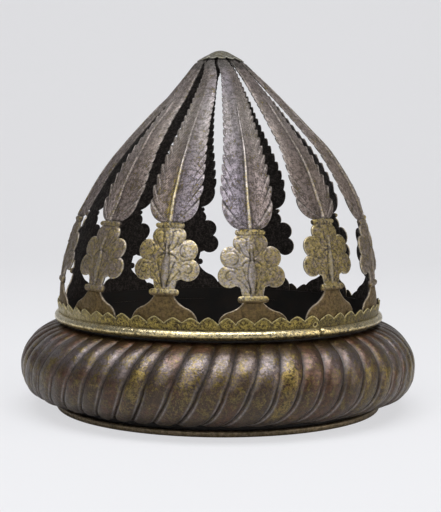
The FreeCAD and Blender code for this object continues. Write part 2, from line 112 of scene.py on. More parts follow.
# How bright its midrib is worn, the gold on and beside it low down, and how strong a painted highlight the
# feather has near its top
RIB_SHINE = (0.8, 0.5, 0.5, 0.6, 0.5, 0.6, 0.6, 0.5, 0.6, 0.5, 0.35, 0.8)
RIB_GOLD = (0.42, 0.2, 0.15, 0.2, 0.2, 0.2, 0.2, 0.2, 0.2, 0.2, 0.1, 0.3)
RIB_GILT = (0.25, 0.2, 0.1, 0.2, 0.2, 0.2, 0.2, 0.2, 0.2, 0.1, 0.15, 0.7)
TOP_HIGHLIGHT = (0.42, 0.14, 0.1, 0.2, 0.25, 0.25, 0.25, 0.25, 0.25, 0.25, 0.3, 0.48)
RIB_GOLD_TOP, RIB_GILT_TOP = 190.0, 172.0
TOP_START, TOP_FULL = 150.0, 195.0
TIP_START, TIP_FULL = 198.0, 212.0
FOOT_GILT, FOOT_STAIN, COLLAR_STAIN = 0.72, 0.62, 0.42
# How dark its head is, left and right of the middle: darker patina, with one half of straps 01 and 12 darker
# still as painted shade. And how much of each half is painted lit: a pale bluish painted reflection above the
# foot, and a painted highlight on the head
HALVES = (-2.0, 2.0)
HEAD_PATINA_AND_SHADE = (
    (0.02, 0.38), (0.5, 0.56), (0.3, 0.3), (0.25, 0.25), (0.25, 0.25), (0.25, 0.25),
    (0.25, 0.25), (0.25, 0.25), (0.25, 0.25), (0.3, 0.3), (0.24, 0.24), (0.24, 0.04),
)
LIT_SIDES = (
    (0.85, 0.3), (0.2, 0.1), (0.15, 0.1), (0.2, 0.2), (0.3, 0.2), (0.2, 0.3),
    (0.3, 0.2), (0.2, 0.3), (0.3, 0.2), (0.3, 0.3), (0.25, 0.2), (0.2, 0.85),
)

# Relief of a strap: how its barbs slant, swell and overlap, the groove beside the midrib, and its keel
BARB_SLANT, BARB_CURVE = 0.75, 1.4
BARB_CREST, BARB_SWELL = 0.86, 1.7
BARB_RISE, BARB_REACH = 1.1, 0.85
GROOVE_OFFSET, GROOVE_WIDTH, GROOVE_DEPTH = 0.45, 0.4, 0.3
RIB_FADE = 12.0
KEEL_HALVES = ((70, 20), (84, 8), (100, 18), (123, 8), (145, 15), (200, 8))
KEEL_RISES = ((72, 1.0), (90, 0.5), (110, 1.0), (130, 1.3), (200, 0.8), (225, 0.2))
LOWER_CUTS, UPPER_CUTS = 3.3, 4.4
HATCH_PITCH = 1.05

# Mesh density
EDGE_STEP = 0.5
GRID_STEP = 0.58
BACK_STEP = 2.6
SHARP_ANGLE = 38.0

# Band, moulding, roll, rim and cap
BAND_INNER = 105.1
BAND_OUTER = 106.1
BAND_BOTTOM = 57.7
BAND_TOP = 71.9
BAND_FLARE = 1.8
SCALLOPS = 61
SCALLOP_DEPTH = 3.8
SEAM_ANGLE = 23.6
SEAM_GAP = 0.5
RIVET_HOLE = 1.2
RIVET_HOLE_HEIGHT = 65.6
RIVET_HOLE_INSET = 3.2
MOULDING_INNER = 106.15
MOULDING_HEIGHT = 5.8
MOULDING_DEPTH = 2.9
RING_OUTER = 103.8
ROLL_INNER = 103.85
ROLL_WIDTH = 27.4
ROLL_WIDEST = 30.3
ROLL_RISE, ROLL_DROP = 26.0, 23.7
ROLL_UPPER_FULLNESS, ROLL_LOWER_FULLNESS = 1.8, 2.6
ROLL_WALL = 1.2
FLUTES = 54
FLUTE_DEPTH = 2.6
FLUTE_UPPER_LEAN, FLUTE_LOWER_LEAN = 4.5, 9.0
FLUTE_END = 0.14
GROOVE_POWER = 2.8
# How far the grooves at the front stand from even places, from the left, as shares of a flute
FRONT_GROOVES = (
    -0.115, 0.04, 0.0, 0.02, -0.05, -0.106, -0.206, -0.156, -0.03, 0.004,
    -0.036, 0.03, -0.026, -0.036, -0.016, 0.094, 0.129, 0.119, 0.25,
)
FIRST_GROOVE = -10
RIM_WIDTH, RIM_HEIGHT, RIM_GAP = 4.1, 4.0, 0.05
RIM_ROUND, RIM_CORNER = 1.3, 0.15
CAP_RADIUS = 15.2
CAP_WALL = 0.9
CAP_GAP = 0.05
CAP_CROWN = 6.0
CAP_NOTCH, CAP_NOTCH_POWER = 3.61, 0.75
CAP_FRONT_CUT, CAP_FRONT_RISE = 1.2, 1.0
CAP_TURN = 7.5
CAP_SHADE = 222.5

# Camera, fitted to the photograph's outline
PHOTO_WIDTH, PHOTO_HEIGHT = 441, 512
FOCAL_PIXELS = 1338.8
AXIS_PIXEL = 219.0
CAMERA_DISTANCE = 890.0
CAMERA_HEIGHT = 174.17
CAMERA_PITCH = 0.084
CAMERA_ROLL = 0.008
CAMERA_AZIMUTH = -11.57
SENSOR = 36.0

# The paper's own glow as the camera sees it, and how much of it hides the shadow
PAPER_GLOW = (0.79, 0.79, 0.81, 1)
PAPER_EVEN = 0.78

# Stage and lamps in metres. Each lamp stands so far towards the camera, to its right and up.
STAGE_HALF, STAGE_FRONT, STAGE_BACK, STAGE_BEND, STAGE_TOP = 3.2, 2.2, 1.1, 0.9, 3.4
LAMP_TARGET = (0, 0, 0.1)
LAMPS = (
    ("overhead", (0.35, 0.0, 1.35), (1.5, 0.8), 25, (0.95, 0.97, 1)),
    ("front", (1.3, -0.5, 0.85), (0.9, 0.7), 5.5, (1, 1, 1)),
    ("side", (0.5, 1.4, 0.6), (0.7, 1.0), 7, (1, 0.97, 0.93)),
)


def sine(angle):
    return np.sin(np.radians(angle))


def cosine(angle):
    return np.cos(np.radians(angle))


def tangent(angle):
    return np.tan(np.radians(angle))


def on_line(pairs, share):
    """The second value of a line of pairs where the first is share."""
    return np.interp(share, [p[0] for p in pairs], [p[1] for p in pairs])


def bump_at(distance, width):
    """1 at distance 0, falling to nothing over about twice the width."""
    return np.exp(-(distance / width) ** 2)


def step_up(value, low, high):
    """0 below low, 1 above high, smooth between."""
    t = np.clip((value - low) / (high - low), 0, 1)
    return t * t * (3 - 2 * t)


def ripple(points, scale, seed):
    """Smooth noise between -1 and 1 at each point."""
    start = Vector((seed, seed * 0.7, -seed))
    return np.array([field.noise(Vector(p) * scale + start) for p in points])


def on_flat(x, z):
    """Points of a flat pattern."""
    return np.column_stack([x, z, np.zeros(len(x))])


def about_axis(reach, turn, height):
    """Points at a distance from the axis, a turn in radians and a height."""
    return np.column_stack([reach * np.cos(turn), reach * np.sin(turn), height])


def search_tree(points):
    tree = kdtree.KDTree(len(points))
    for i, (x, z) in enumerate(points):
        tree.insert((x, z, 0), i)
    tree.balance()
    return tree


# The dome

def crown_line(height):
    """Outer radius of the dome and the angle of its normal above the horizon, at each height."""
    height = np.asarray(height, float)
    arc_end = CROWN_SPRING + CROWN_ARC * sine(CROWN_SLOPE)
    kink = cap_line(KINK_RADIUS)
    up = np.clip(height - CROWN_SPRING, 0, arc_end - CROWN_SPRING)
    radius = CROWN_BASE - CROWN_ARC + np.sqrt(CROWN_ARC ** 2 - up ** 2)
    angle = np.degrees(np.arcsin(up / CROWN_ARC))
    radius = np.where(height > arc_end, KINK_RADIUS + (kink - height) * tangent(CROWN_SLOPE), radius)
    radius = np.where(height > kink, KINK_RADIUS - (height - kink) * tangent(CAP_SLOPE), radius)
    blend = step_up(height, kink - 3, kink + 1)
    angle = np.where(height > arc_end, CROWN_SLOPE + (CAP_SLOPE - CROWN_SLOPE) * blend, angle)
    return radius, angle


def cap_line(radius):
    """Height of the straps' outer line at a radius inside the kink."""
    arc_end_radius = CROWN_BASE - CROWN_ARC * (1 - cosine(CROWN_SLOPE))
    arc_end = CROWN_SPRING + CROWN_ARC * sine(CROWN_SLOPE)
    slope_rise = (arc_end_radius - KINK_RADIUS) / tangent(CROWN_SLOPE)
    return arc_end + slope_rise + (KINK_RADIUS - radius) / tangent(CAP_SLOPE)


# The strap's outline

def feather_half(height):
    """Half width of the feather's smooth envelope, kept clear of the next strap."""
    height = np.asarray(height, float)
    bottom = UPPER_COLLAR + UPPER_THICK / 2
    top = cap_line(KINK_RADIUS)
    below = np.clip((FEATHER_WIDEST - height) / (FEATHER_WIDEST - bottom), 0, 1)
    low = FEATHER_BASE_HALF + (FEATHER_HALF - FEATHER_BASE_HALF) * np.sqrt(1 - below ** 2)
    share = (height - FEATHER_WIDEST) / (top - FEATHER_WIDEST)
    high = FEATHER_HALF * on_line(FEATHER_TAPER, share)
    half = np.where(height <= FEATHER_WIDEST, low, high)
    room = crown_line(height)[0] * tangent(HALF_PITCH) - TIP_GAP / 2
    return np.minimum(half, room)


def barb_heights():
    """Heights of the notches between the barbs."""
    top = cap_line(CAP_RADIUS)
    shares = 1 - np.arange(BARB_COUNT) / (BARB_COUNT - 1)
    weights = 1 + (FIRST_BARB_WEIGHT - 1) * shares ** 2
    steps = weights * (top - BARB_START) / weights.sum()
    return np.concatenate([[BARB_START], BARB_START + np.cumsum(steps)])


def circle_through(a, b, c):
    """Centre of the circle through three points."""
    d = 2 * (a[0] * (b[1] - c[1]) + b[0] * (c[1] - a[1]) + c[0] * (a[1] - b[1]))
    squares = [p[0] ** 2 + p[1] ** 2 for p in (a, b, c)]
    x = (squares[0] * (b[1] - c[1]) + squares[1] * (c[1] - a[1]) + squares[2] * (a[1] - b[1])) / d
    y = (squares[0] * (c[0] - b[0]) + squares[1] * (a[0] - c[0]) + squares[2] * (b[0] - a[0])) / d
    return x, y


def sampled(item, step):
    """Points along a line or a three point arc, without its last point."""
    a, c = item[0], item[-1]
    if len(item) == 2:
        count = max(1, round(math.dist(a, c) / step))
        return [(a[0] + (c[0] - a[0]) * i / count, a[1] + (c[1] - a[1]) * i / count) for i in range(count)]
    x, y = circle_through(*item)
    radius = math.dist(a, (x, y))
    start = math.atan2(a[1] - y, a[0] - x)
    middle = (math.atan2(item[1][1] - y, item[1][0] - x) - start) % TAU
    sweep = (math.atan2(c[1] - y, c[0] - x) - start) % TAU
    if middle > sweep:
        sweep -= TAU
    count = max(2, round(abs(sweep) * radius / step))
    turns = [start + sweep * i / count for i in range(count)]
    return [(x + radius * math.cos(t), y + radius * math.sin(t)) for t in turns]


def lobe_crossing(low, high):
    """The outer point where two lobes' circles meet."""
    x1, z1, r1 = LOBE_CENTRES[low], LOBE_HEIGHTS[low], LOBE_RADII[low]
    x2, z2, r2 = LOBE_CENTRES[high], LOBE_HEIGHTS[high], LOBE_RADII[high]
    gap = math.hypot(x2 - x1, z2 - z1)
    along = (r1 ** 2 - r2 ** 2 + gap ** 2) / (2 * gap)
    across = math.sqrt(r1 ** 2 - along ** 2)
    ux, uz = (x2 - x1) / gap, (z2 - z1) / gap
    return (x1 + ux * along + uz * across, z1 + uz * along - ux * across)


def on_lobe(index, angle):
    return (
        LOBE_CENTRES[index] + LOBE_RADII[index] * cosine(angle),
        LOBE_HEIGHTS[index] + LOBE_RADII[index] * sine(angle),
    )


def lobe_arc(index, start, end):
    x, z, r = LOBE_CENTRES[index], LOBE_HEIGHTS[index], LOBE_RADII[index]
    middle = (math.atan2(start[1] - z, start[0] - x) + math.atan2(end[1] - z, end[0] - x)) / 2
    return (start, (x + r * math.cos(middle), z + r * math.sin(middle)), end)


def collar_knob(height, width, thick, below, above):
    """The outline round a collar's knob end, from the neck below to the neck above."""
    radius = thick / 2
    straight = width / 2 - radius
    low = (straight, height - radius)
    high = (straight, height + radius)
    return [(below, low), (low, (straight + radius, height), high), (high, above)]


def right_edge():
    """The strap's right edge from foot to tip, as lines and arcs of (across, height) points."""
    lower_neck = LOWER_COLLAR - LOWER_THICK / 2
    stem_bottom = LOWER_COLLAR + LOWER_THICK / 2
    head_top = UPPER_COLLAR - UPPER_THICK / 2
    feather_bottom = UPPER_COLLAR + UPPER_THICK / 2
    shoulder = (FOOT_HALF, FOOT_SHOULDER)
    neck = (NECK_HALF, lower_neck)
    feather_neck = (NECK_HALF, feather_bottom)
    flare, middle, hollow = [
        (NECK_HALF + (FOOT_HALF - NECK_HALF) * across, FOOT_SHOULDER + (lower_neck - FOOT_SHOULDER) * up)
        for across, up in FOOT_CURVE
    ]
    under_lobe = on_lobe(0, -126.0)
    first_cross = lobe_crossing(0, 1)
    second_cross = lobe_crossing(1, 2)
    shoulder_end = on_lobe(2, 60.0)
    edge = [
        ((FOOT_HALF, FOOT_BOTTOM), shoulder),
        (shoulder, flare, middle),
        (middle, hollow, neck),
        *collar_knob(LOWER_COLLAR, LOWER_WIDTH, LOWER_THICK, neck, (NECK_HALF, stem_bottom)),
        ((NECK_HALF, stem_bottom), (STEM_HALF, STEM_FLARE)),
        ((STEM_HALF, STEM_FLARE), under_lobe),
        lobe_arc(0, under_lobe, first_cross),
        lobe_arc(1, first_cross, second_cross),
        lobe_arc(2, second_cross, shoulder_end),
        (shoulder_end, (NECK_HALF, head_top)),
        *collar_knob(UPPER_COLLAR, UPPER_WIDTH, UPPER_THICK, (NECK_HALF, head_top), feather_neck),
    ]
    base_top = feather_bottom + FEATHER_BASE_RISE
    edge.append((feather_neck, (FEATHER_BASE_HALF, base_top)))
    heights = barb_heights()
    depths = np.linspace(FIRST_BARB, LAST_BARB, BARB_COUNT)
    here = (FEATHER_BASE_HALF, base_top)
    first = (feather_half(BARB_START) - depths[0], BARB_START)
    between = (base_top + BARB_START) / 2
    edge.append((here, (float(feather_half(between)), between), first))
    here = first
    for i in range(BARB_COUNT):
        low, high = heights[i], heights[i + 1]
        middle = (low + high) / 2
        tip = (float(feather_half(high)), high)
        edge.append((here, (float(feather_half(middle)), middle), tip))
        here = tip
        if i < BARB_COUNT - 1:
            here = (float(feather_half(high)) - depths[i + 1], high)
            edge.append((tip, here))
    tip_half = TIP_RADIUS * tangent(HALF_PITCH) - TIP_GAP / 2
    edge.append((here, (tip_half, cap_line(TIP_RADIUS))))
    edge.append(((tip_half, cap_line(TIP_RADIUS)), (0.0, cap_line(TIP_RADIUS))))
    return edge


def triangulated(loop, step, margin, hole=()):
    """Fills a closed outline with triangles on a grid. Gives points, faces and the outline's own indices."""
    points = [*loop, *hole]
    tree = search_tree(points)
    xs, zs = zip(*loop)
    row_step = step * math.sqrt(3) / 2
    for row in range(int((max(zs) - min(zs)) / row_step) + 1):
        z = min(zs) + row * row_step
        for column in range(int((max(xs) - min(xs)) / step) + 1):
            x = min(xs) + (column + (row % 2) / 2) * step
            if tree.find((x, z, 0))[2] > margin:
                points.append((x, z))
    edges = []
    start = 0
    for ring in (loop, hole):
        edges.extend((start + i, start + (i + 1) % len(ring)) for i in range(len(ring)))
        start += len(ring)
    made = delaunay_2d_cdt([Vector(p) for p in points], edges, [], 1, 1e-5)
    new_index = {old: i for i, olds in enumerate(made[3]) for old in olds}
    flat = np.array([tuple(v) for v in made[0]])
    faces = np.array([tuple(f) for f in made[2]])
    if hole:
        centre = np.mean(hole, axis=0)
        reach = max(math.dist(centre, p) for p in hole)
        away = np.hypot(*(flat[faces].mean(1) - centre).T)
        faces = faces[away > reach]
    kept = [new_index[i] for i in range(len(loop) + len(hole))]
    return flat, faces, [kept[:len(loop)], kept[len(loop):]]


# The relief of one strap, as height above the dome in millimetres, with masks from 0 to 1

def feather_relief(x, z):
    """Raised midrib and overlapping barbs of the feather, with masks of its rib, of a painted highlight on
    its barb lips, and of painted shade in the notches under its barbs, with the groove beside the rib
    darkened too.
    """
    inward = np.clip(feather_half(z) - np.abs(x), 0, None)
    heights = np.concatenate([[UPPER_COLLAR + UPPER_THICK / 2], barb_heights()])
    numbers = np.arange(len(heights))
    place = np.interp(z + BARB_SLANT * inward ** BARB_CURVE, heights, numbers)
    part = place - np.floor(place)
    size = np.interp(place, numbers[:-1], np.diff(heights))
    saw = np.where(part < BARB_CREST, (part / BARB_CREST) ** BARB_SWELL, (1 - part) / (1 - BARB_CREST))
    near_edge = bump_at(inward, size * BARB_REACH)
    barbs = BARB_RISE * np.clip(size / 6, 0.4, 1) * (saw - 0.6) * near_edge
    # Painted shade in the notch under each barb, and a painted highlight along each barb's lip.
    cut = (bump_at(part - 1, 0.1) + bump_at(part, 0.07)) * near_edge ** 0.5
    lip_highlight = bump_at(part - 0.8, 0.07) * near_edge
    rib_half = np.interp(z, [UPPER_COLLAR, MIDRIB_TOP], [MIDRIB_HALF, MIDRIB_TIP_HALF])
    fade = step_up(MIDRIB_TOP - z, 0, RIB_FADE)
    rib = np.sqrt(np.clip(1 - (x / rib_half) ** 2, 0, 1)) * fade
    beside = bump_at(np.abs(x) - rib_half - GROOVE_OFFSET, GROOVE_WIDTH) * fade
    return barbs + MIDRIB_RISE * rib - GROOVE_DEPTH * beside, rib, lip_highlight, cut + 0.5 * beside


def stroke(x, z, route, width):
    """An engraved line along a route of (across, height) points, 1 on it and 0 away from it."""
    nearest = np.full(len(x), 1e9)
    for (x1, z1), (x2, z2) in zip(route, route[1:]):
        dx, dz = x2 - x1, z2 - z1
        share = np.clip(((x - x1) * dx + (z - z1) * dz) / (dx * dx + dz * dz), 0, 1)
        nearest = np.minimum(nearest, np.hypot(x - x1 - share * dx, z - z1 - share * dz))
    return bump_at(nearest, width)


def bow(centre, height, radius, start, end, turns=9):
    """A route along an arc, with angles from the right, anticlockwise. A radius pair makes a scroll."""
    radii = np.linspace(*radius, turns) if isinstance(radius, tuple) else np.full(turns, radius)
    angles = np.linspace(start, end, turns)
    return [(centre + r * cosine(a), height + r * sine(a)) for r, a in zip(radii, angles)]


def head_relief(x, z):
    """The flower head: a tapered leaf under an arch, side leaves, and a crescent or scroll in each lobe."""
    side = np.abs(x)
    leaf_half = on_line(((87.8, 0.8), (95.0, 1.7), (100.5, 2.2), (105.0, 1.5), (108.2, 0.7), (118.0, 0.8)), z)
    in_leaf = step_up(z, 87, 89) * step_up(118.5 - z, 0, 4)
    leaf = np.sqrt(np.clip(1 - (x / leaf_half) ** 2, 0, 1)) * in_leaf
    beside = bump_at(side - leaf_half - 0.45, 0.36) * in_leaf
    arch = stroke(x, z, bow(0.0, 101.3, 7.3, 36, 144, 13), 0.5)
    ledge = stroke(x, z, bow(0.0, 101.3, 8.4, 36, 144, 13), 0.55)
    lines = np.maximum.reduce([stroke(side, z, route, width) for route, width in (
        ([(1.0, 89.5), (2.3, 93.5), (3.9, 98.5), (5.6, 103.4)], 0.45),
        ([(1.8, 89.2), (4.4, 93.2), (6.9, 96.4), (9.3, 98.2)], 0.45),
        ([(1.3, 109.8), (3.6, 111.2), (5.6, 113.8), (7.2, 117.6)], 0.45),
        ([(1.0, 112.0), (2.6, 114.6), (3.2, 118.0), (2.2, 121.4)], 0.4),
        (bow(13.4, 99.0, (3.9, 1.5), 150, -130, 14), 0.45),
        (bow(11.9, 110.2, 4.0, 125, 262), 0.45),
        (bow(5.6, 118.7, 3.3, 50, 215), 0.42),
    )])
    seams = np.maximum(
        stroke(side, z, [lobe_crossing(0, 1), (10.2, 104.0), (8.0, 103.0)], 0.5),
        stroke(side, z, [lobe_crossing(1, 2), (8.0, 114.5), (6.4, 112.6)], 0.5),
    )
    dome = np.zeros_like(x)
    for centre, height, radius in zip(LOBE_CENTRES, LOBE_HEIGHTS, LOBE_RADII):
        away = np.hypot(side - centre, z - height)
        dome = np.maximum(dome, np.clip(1 - (away / radius) ** 2, 0, 1))
    relief = 0.6 * leaf - 0.35 * beside - 0.4 * arch + 0.35 * ledge - 0.35 * lines - 0.35 * seams + 0.7 * dome
    return relief, leaf, np.clip(beside + arch + 0.85 * lines + 0.8 * seams, 0, 1)


def collar_relief(x, z, height, thick, cuts):
    """A half-round bead across the strap, with slanting cuts."""
    across = np.sqrt(np.clip(1 - ((z - height) / (thick / 2)) ** 2, 0, 1))
    bead = across * (COLLAR_RISE + 0.1)
    slant = (x + 0.5 * (z - height) + cuts / 3) % cuts - cuts / 2
    nick = bump_at(slant, 0.3) * across * (across > 0.2)
    return bead - 0.35 * nick, across, nick


def foot_relief(x, z, edge):
    """A line engraved inside the foot's edge, with short ticks outside it."""
    line = bump_at(edge - 1.3, 0.32)
    ticks = bump_at(((z * 1.3 + np.abs(x) * 0.6) % 2.3) - 1.15, 0.35) * step_up(1.2 - edge, 0, 0.4)
    return -0.22 * line - 0.15 * ticks, line


def strap_relief(x, z, edge):
    """Relief of the whole strap, and masks of its parts, its cuts with painted shade under its barbs and
    beside its collars, and its painted highlights.
    """
    in_foot = step_up(LOWER_COLLAR - z, 0, 1)
    in_feather = step_up(z, UPPER_COLLAR - 0.3, UPPER_COLLAR + 0.8)
    in_head = (1 - in_foot) * (1 - in_feather)
    feather, rib, lip_highlight, barb_shade_and_groove = feather_relief(x, z)
    head, stem, head_cut = head_relief(x, z)
    foot, foot_line = foot_relief(x, z, edge)
    keel = (1 - np.clip(np.abs(x) / on_line(KEEL_HALVES, z), 0, 1)) * on_line(KEEL_RISES, z)
    relief = in_feather * feather + in_head * head + in_foot * foot + keel
    lower, lower_on, lower_nick = collar_relief(x, z, LOWER_COLLAR, LOWER_THICK, LOWER_CUTS)
    upper, upper_on, upper_nick = collar_relief(x, z, UPPER_COLLAR, UPPER_THICK, UPPER_CUTS)
    collar = np.maximum(lower_on, upper_on)
    relief = np.where(lower_on > 0, lower, relief)
    relief = np.where(upper_on > 0, upper + 0.5 * keel, relief)
    cut = in_feather * barb_shade_and_groove + in_head * head_cut + in_foot * foot_line * 0.5
    cut = np.where(collar > 0, np.maximum(lower_nick, upper_nick) * 0.8, cut)
    from_lower = np.abs(z - LOWER_COLLAR) - LOWER_THICK / 2
    from_upper = np.abs(z - UPPER_COLLAR) - UPPER_THICK / 2
    # Painted shade along both sides of each collar bead.
    collar_side_shade = bump_at(np.minimum(from_lower, from_upper), 0.6)
    cut = np.where(collar > 0.05, cut, np.maximum(cut, collar_side_shade * 0.9))
    # Painted highlights on the barb lips, the head's leaf and the collar crests.
    polish = np.maximum.reduce([0.6 * in_feather * lip_highlight, 0.3 * in_head * stem, collar ** 3 * 0.1])
    return relief - 0.4 * bump_at(edge, 0.38), {
        "foot": in_foot, "head": in_head, "feather": in_feather, "edge": bump_at(edge, 0.5),
        "rib": in_feather * rib, "stem": in_head * stem, "collar": collar ** 0.3 * (collar > 0),
        "cut": np.clip(cut, 0, 1), "polish": polish,
    }


# Meshes and their masks of gilding, wear and painted light

def masks(count, **shares):
    """Vertex colours that carry gilding, wear and painted light: red gilding, green grime in cuts and painted
    shade, blue a bluish tone and painted bluish reflection, alpha polished wear and painted highlights.
    """
    values = np.zeros((count, 4))
    for i, name in enumerate(("gilt", "dirt", "cool", "polish")):
        values[:, i] = np.clip(shares.get(name, 0.0), 0, 1)
    return values


def hidden(count, cool=0.0):
    """Finish masks of a dark skin that faces inwards."""
    return masks(count, dirt=1.0, cool=cool)


def add_object(name, data):
    made = bpy.data.objects.new(name, data)
    bpy.context.scene.collection.objects.link(made)
    return made


def piece(name, points, faces, finish_and_light, pattern, material, node):
    """A mesh object from millimetre points, with its masks of gilding, wear and painted light, and pattern
    coordinates.
    """
    mesh = bpy.data.meshes.new(name)
    mesh.from_pydata((np.asarray(points) * MM).tolist(), [], [tuple(int(i) for i in f) for f in faces])
    colours = mesh.attributes.new("finish_and_light", "FLOAT_COLOR", "POINT")
    colours.data.foreach_set("color", np.asarray(finish_and_light, float).ravel())
    places = mesh.attributes.new("pattern", "FLOAT_VECTOR", "POINT")
    places.data.foreach_set("vector", np.asarray(pattern, float).ravel())
    mesh.polygons.foreach_set("use_smooth", [True] * len(mesh.polygons))
    mesh.set_sharp_from_angle(angle=math.radians(SHARP_ANGLE))
    mesh.materials.append(material)
    made = add_object(name, mesh)
    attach(made, "root")
    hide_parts(node)


def shell_faces(front, back):
    """Faces of a thin sheet, from the patterns of its front and back, with the walls between them."""
    shift = len(front[0])
    faces = front[1].tolist() + (back[1][:, ::-1] + shift).tolist()
    for near, far in zip(front[2], back[2]):
        for i in range(len(near)):
            j = (i + 1) % len(near)
            faces.append((near[j], near[i], far[i] + shift, far[j] + shift))
    return faces


def outline_distance(flat, outline):
    tree = search_tree(outline)
    return np.array([tree.find((x, z, 0))[2] for x, z in flat])


# The straps

def strap_pattern():
    """The flat front and back of a strap, shared by all twelve."""
    right = []
    for item in right_edge():
        right.extend(sampled(item, EDGE_STEP))
    left = [(-x, z) for x, z in reversed(right)]
    loop = right + [(0.0, cap_line(TIP_RADIUS))] + left
    front = triangulated(loop, GRID_STEP, GRID_STEP * 0.6)
    back = triangulated(loop, BACK_STEP, BACK_STEP * 0.5)
    return front, back, outline_distance(front[0], loop)


def set_out(index, x, z, lift):
    """Places pattern points of one strap round the dome, lifted off its outer line."""
    shift = SHIFTS[index] * LOWER_THICK
    neck = LOWER_COLLAR - LOWER_THICK / 2
    collar_top = UPPER_COLLAR + UPPER_THICK / 2
    z = z + np.interp(z, [FOOT_SHOULDER, neck, collar_top, BARB_START], [0, shift, shift, 0])
    share = (z - FOOT_SHOULDER) / (cap_line(KINK_RADIUS) - FOOT_SHOULDER)
    x = x + BENDS[index] * FOOT_HALF * on_line(BEND_LINE, share)
    x = x * (1 - NARROWS[index] * on_line(NARROW_LINE, share))
    aside = TOP_BENDS[index] * on_line(TOP_LINE, share) + TIP_BENDS[index] * on_line(TIP_LINE, share)
    x = x + FOOT_HALF * aside
    radius, angle = crown_line(z)
    radius = radius + PUSHES[index] * on_line(PUSH_LINE, share)
    turn = np.radians(FRONT + index * 2 * HALF_PITCH) + np.arcsin(np.clip(x / radius, -0.9, 0.9))
    return about_axis(radius + lift * cosine(angle), turn, z + lift * sine(angle))


def strap_finish_and_light(index, x, z, part, seed):
    """Masks of one strap's front, of its gilding, wear and painted light, from the masks of its relief."""
    feather, head, edge = part["feather"], part["head"], part["edge"]
    gilt = (
        head * HEAD_GILT[index] * (1 - STEM_BARE[index] * part["stem"])
        + feather * (FEATHER_GILT[index] + RIB_GOLD[index] * part["rib"] * step_up(RIB_GOLD_TOP - z, 0, 50))
        + feather * RIB_GILT[index] * bump_at(x + 0.8, 1.8) * step_up(RIB_GILT_TOP - z, 0, 30)
        + part["foot"] * FOOT_GILT
    )
    gilt = np.maximum(gilt, part["collar"] * COLLAR_GILT[index]) + 0.2 * edge * (1 - feather)
    # Darker patina on the head, and on straps 01 and 12 a painted shade on one half.
    dark = np.interp(x, HALVES, HEAD_PATINA_AND_SHADE[index]) * head
    # Painted light on one half: a pale bluish reflection, and on the head a painted highlight.
    tone = np.interp(x, HALVES, LIT_SIDES[index])
    # The feather's upper part is painted lighter and bluish, with a highlight, as lit from above.
    above = feather * step_up(z, TOP_START, TOP_FULL)
    cool = np.maximum(tone * (1 - part["foot"]) * (1 - 2.5 * dark), 0.3 * above)
    stain_and_shade = (0.0 if index == 0 else COLLAR_STAIN) * part["collar"]
    cut = np.maximum.reduce([part["cut"] * (1 + 0.4 * feather), FOOT_STAIN * part["foot"], dark, stain_and_shade])
    dashes = 0.65 + 0.35 * np.sin(z * 1.3 + seed) * np.sin(z * 0.37 + seed)
    worn_edge = edge * (0.65 - 0.35 * feather) * (1 - part["collar"])
    worn = np.maximum(part["rib"] * RIB_SHINE[index] * dashes, worn_edge)
    feather_top_highlight = TOP_HIGHLIGHT[index] * above * (1 - 0.55 * step_up(z, TIP_START, TIP_FULL))
    polish = np.maximum.reduce([part["polish"], worn, feather_top_highlight, 0.5 * tone * head * (1 - cut)])
    # Painted shadow under the cap darkens the strap tops.
    cut = np.maximum(cut * (1 - 0.8 * edge), 0.9 * step_up(z, CAP_SHADE - 1.6, CAP_SHADE))
    return masks(len(x), gilt=gilt, dirt=cut, cool=cool, polish=polish)


def make_straps(material):
    front_pattern, back_pattern, edge = strap_pattern()
    faces = shell_faces(front_pattern, back_pattern)
    back = back_pattern[0]
    x, z = front_pattern[0].T
    flat = on_flat(x, z)
    for index in range(STRAP_COUNT):
        seed = 3.7 * index
        grain = ripple(flat, 0.85, seed)
        sway = ripple(flat, 0.07, seed + 50)
        in_head = step_up(z, 88, 92) * step_up(122 - z, 0, 4)
        warp = 0.7 * in_head * step_up(edge, 0, 2.5)
        relief, part = strap_relief(x + warp * ripple(flat, 0.16, seed + 80), z + warp * sway, edge)
        stipple = (0.05 + 0.14 * part["head"] * (1 - part["stem"])) * grain
        lift = relief * (1 + 0.12 * sway) + stipple + 0.35 * sway * step_up(z, 75, 95)
        points = np.vstack([set_out(index, x, z, lift), set_out(index, *back.T, -STRAP_WALL)])
        finish_and_light = np.vstack([strap_finish_and_light(index, x, z, part, seed), hidden(len(back), 0.2)])
        hatched = part["feather"] * (1 - part["rib"]) - part["foot"]
        pattern = np.vstack([np.column_stack([x, z, hatched]), on_flat(*back.T)])
        name = "strap_%02d" % (index + 1)
        piece(name, points, faces, finish_and_light, pattern, material, "crown_" + name)


# The band, its moulding, the rim and the roll

def round_the_band(s, z, lift):
    """Places points of the unrolled band, where s is the length from the seam."""
    turn = np.radians(FRONT + SEAM_ANGLE) + s / BAND_INNER
    upright_top = BAND_BOTTOM + MOULDING_HEIGHT
    uneven = 0.85 + 0.15 * np.sin(s * 0.21) * np.sin(s * 0.058 + 1.0)
    flare = BAND_FLARE * uneven * np.clip((z - upright_top) / (BAND_TOP - upright_top), 0, 1)
    return about_axis(BAND_INNER + lift + flare, turn, z)


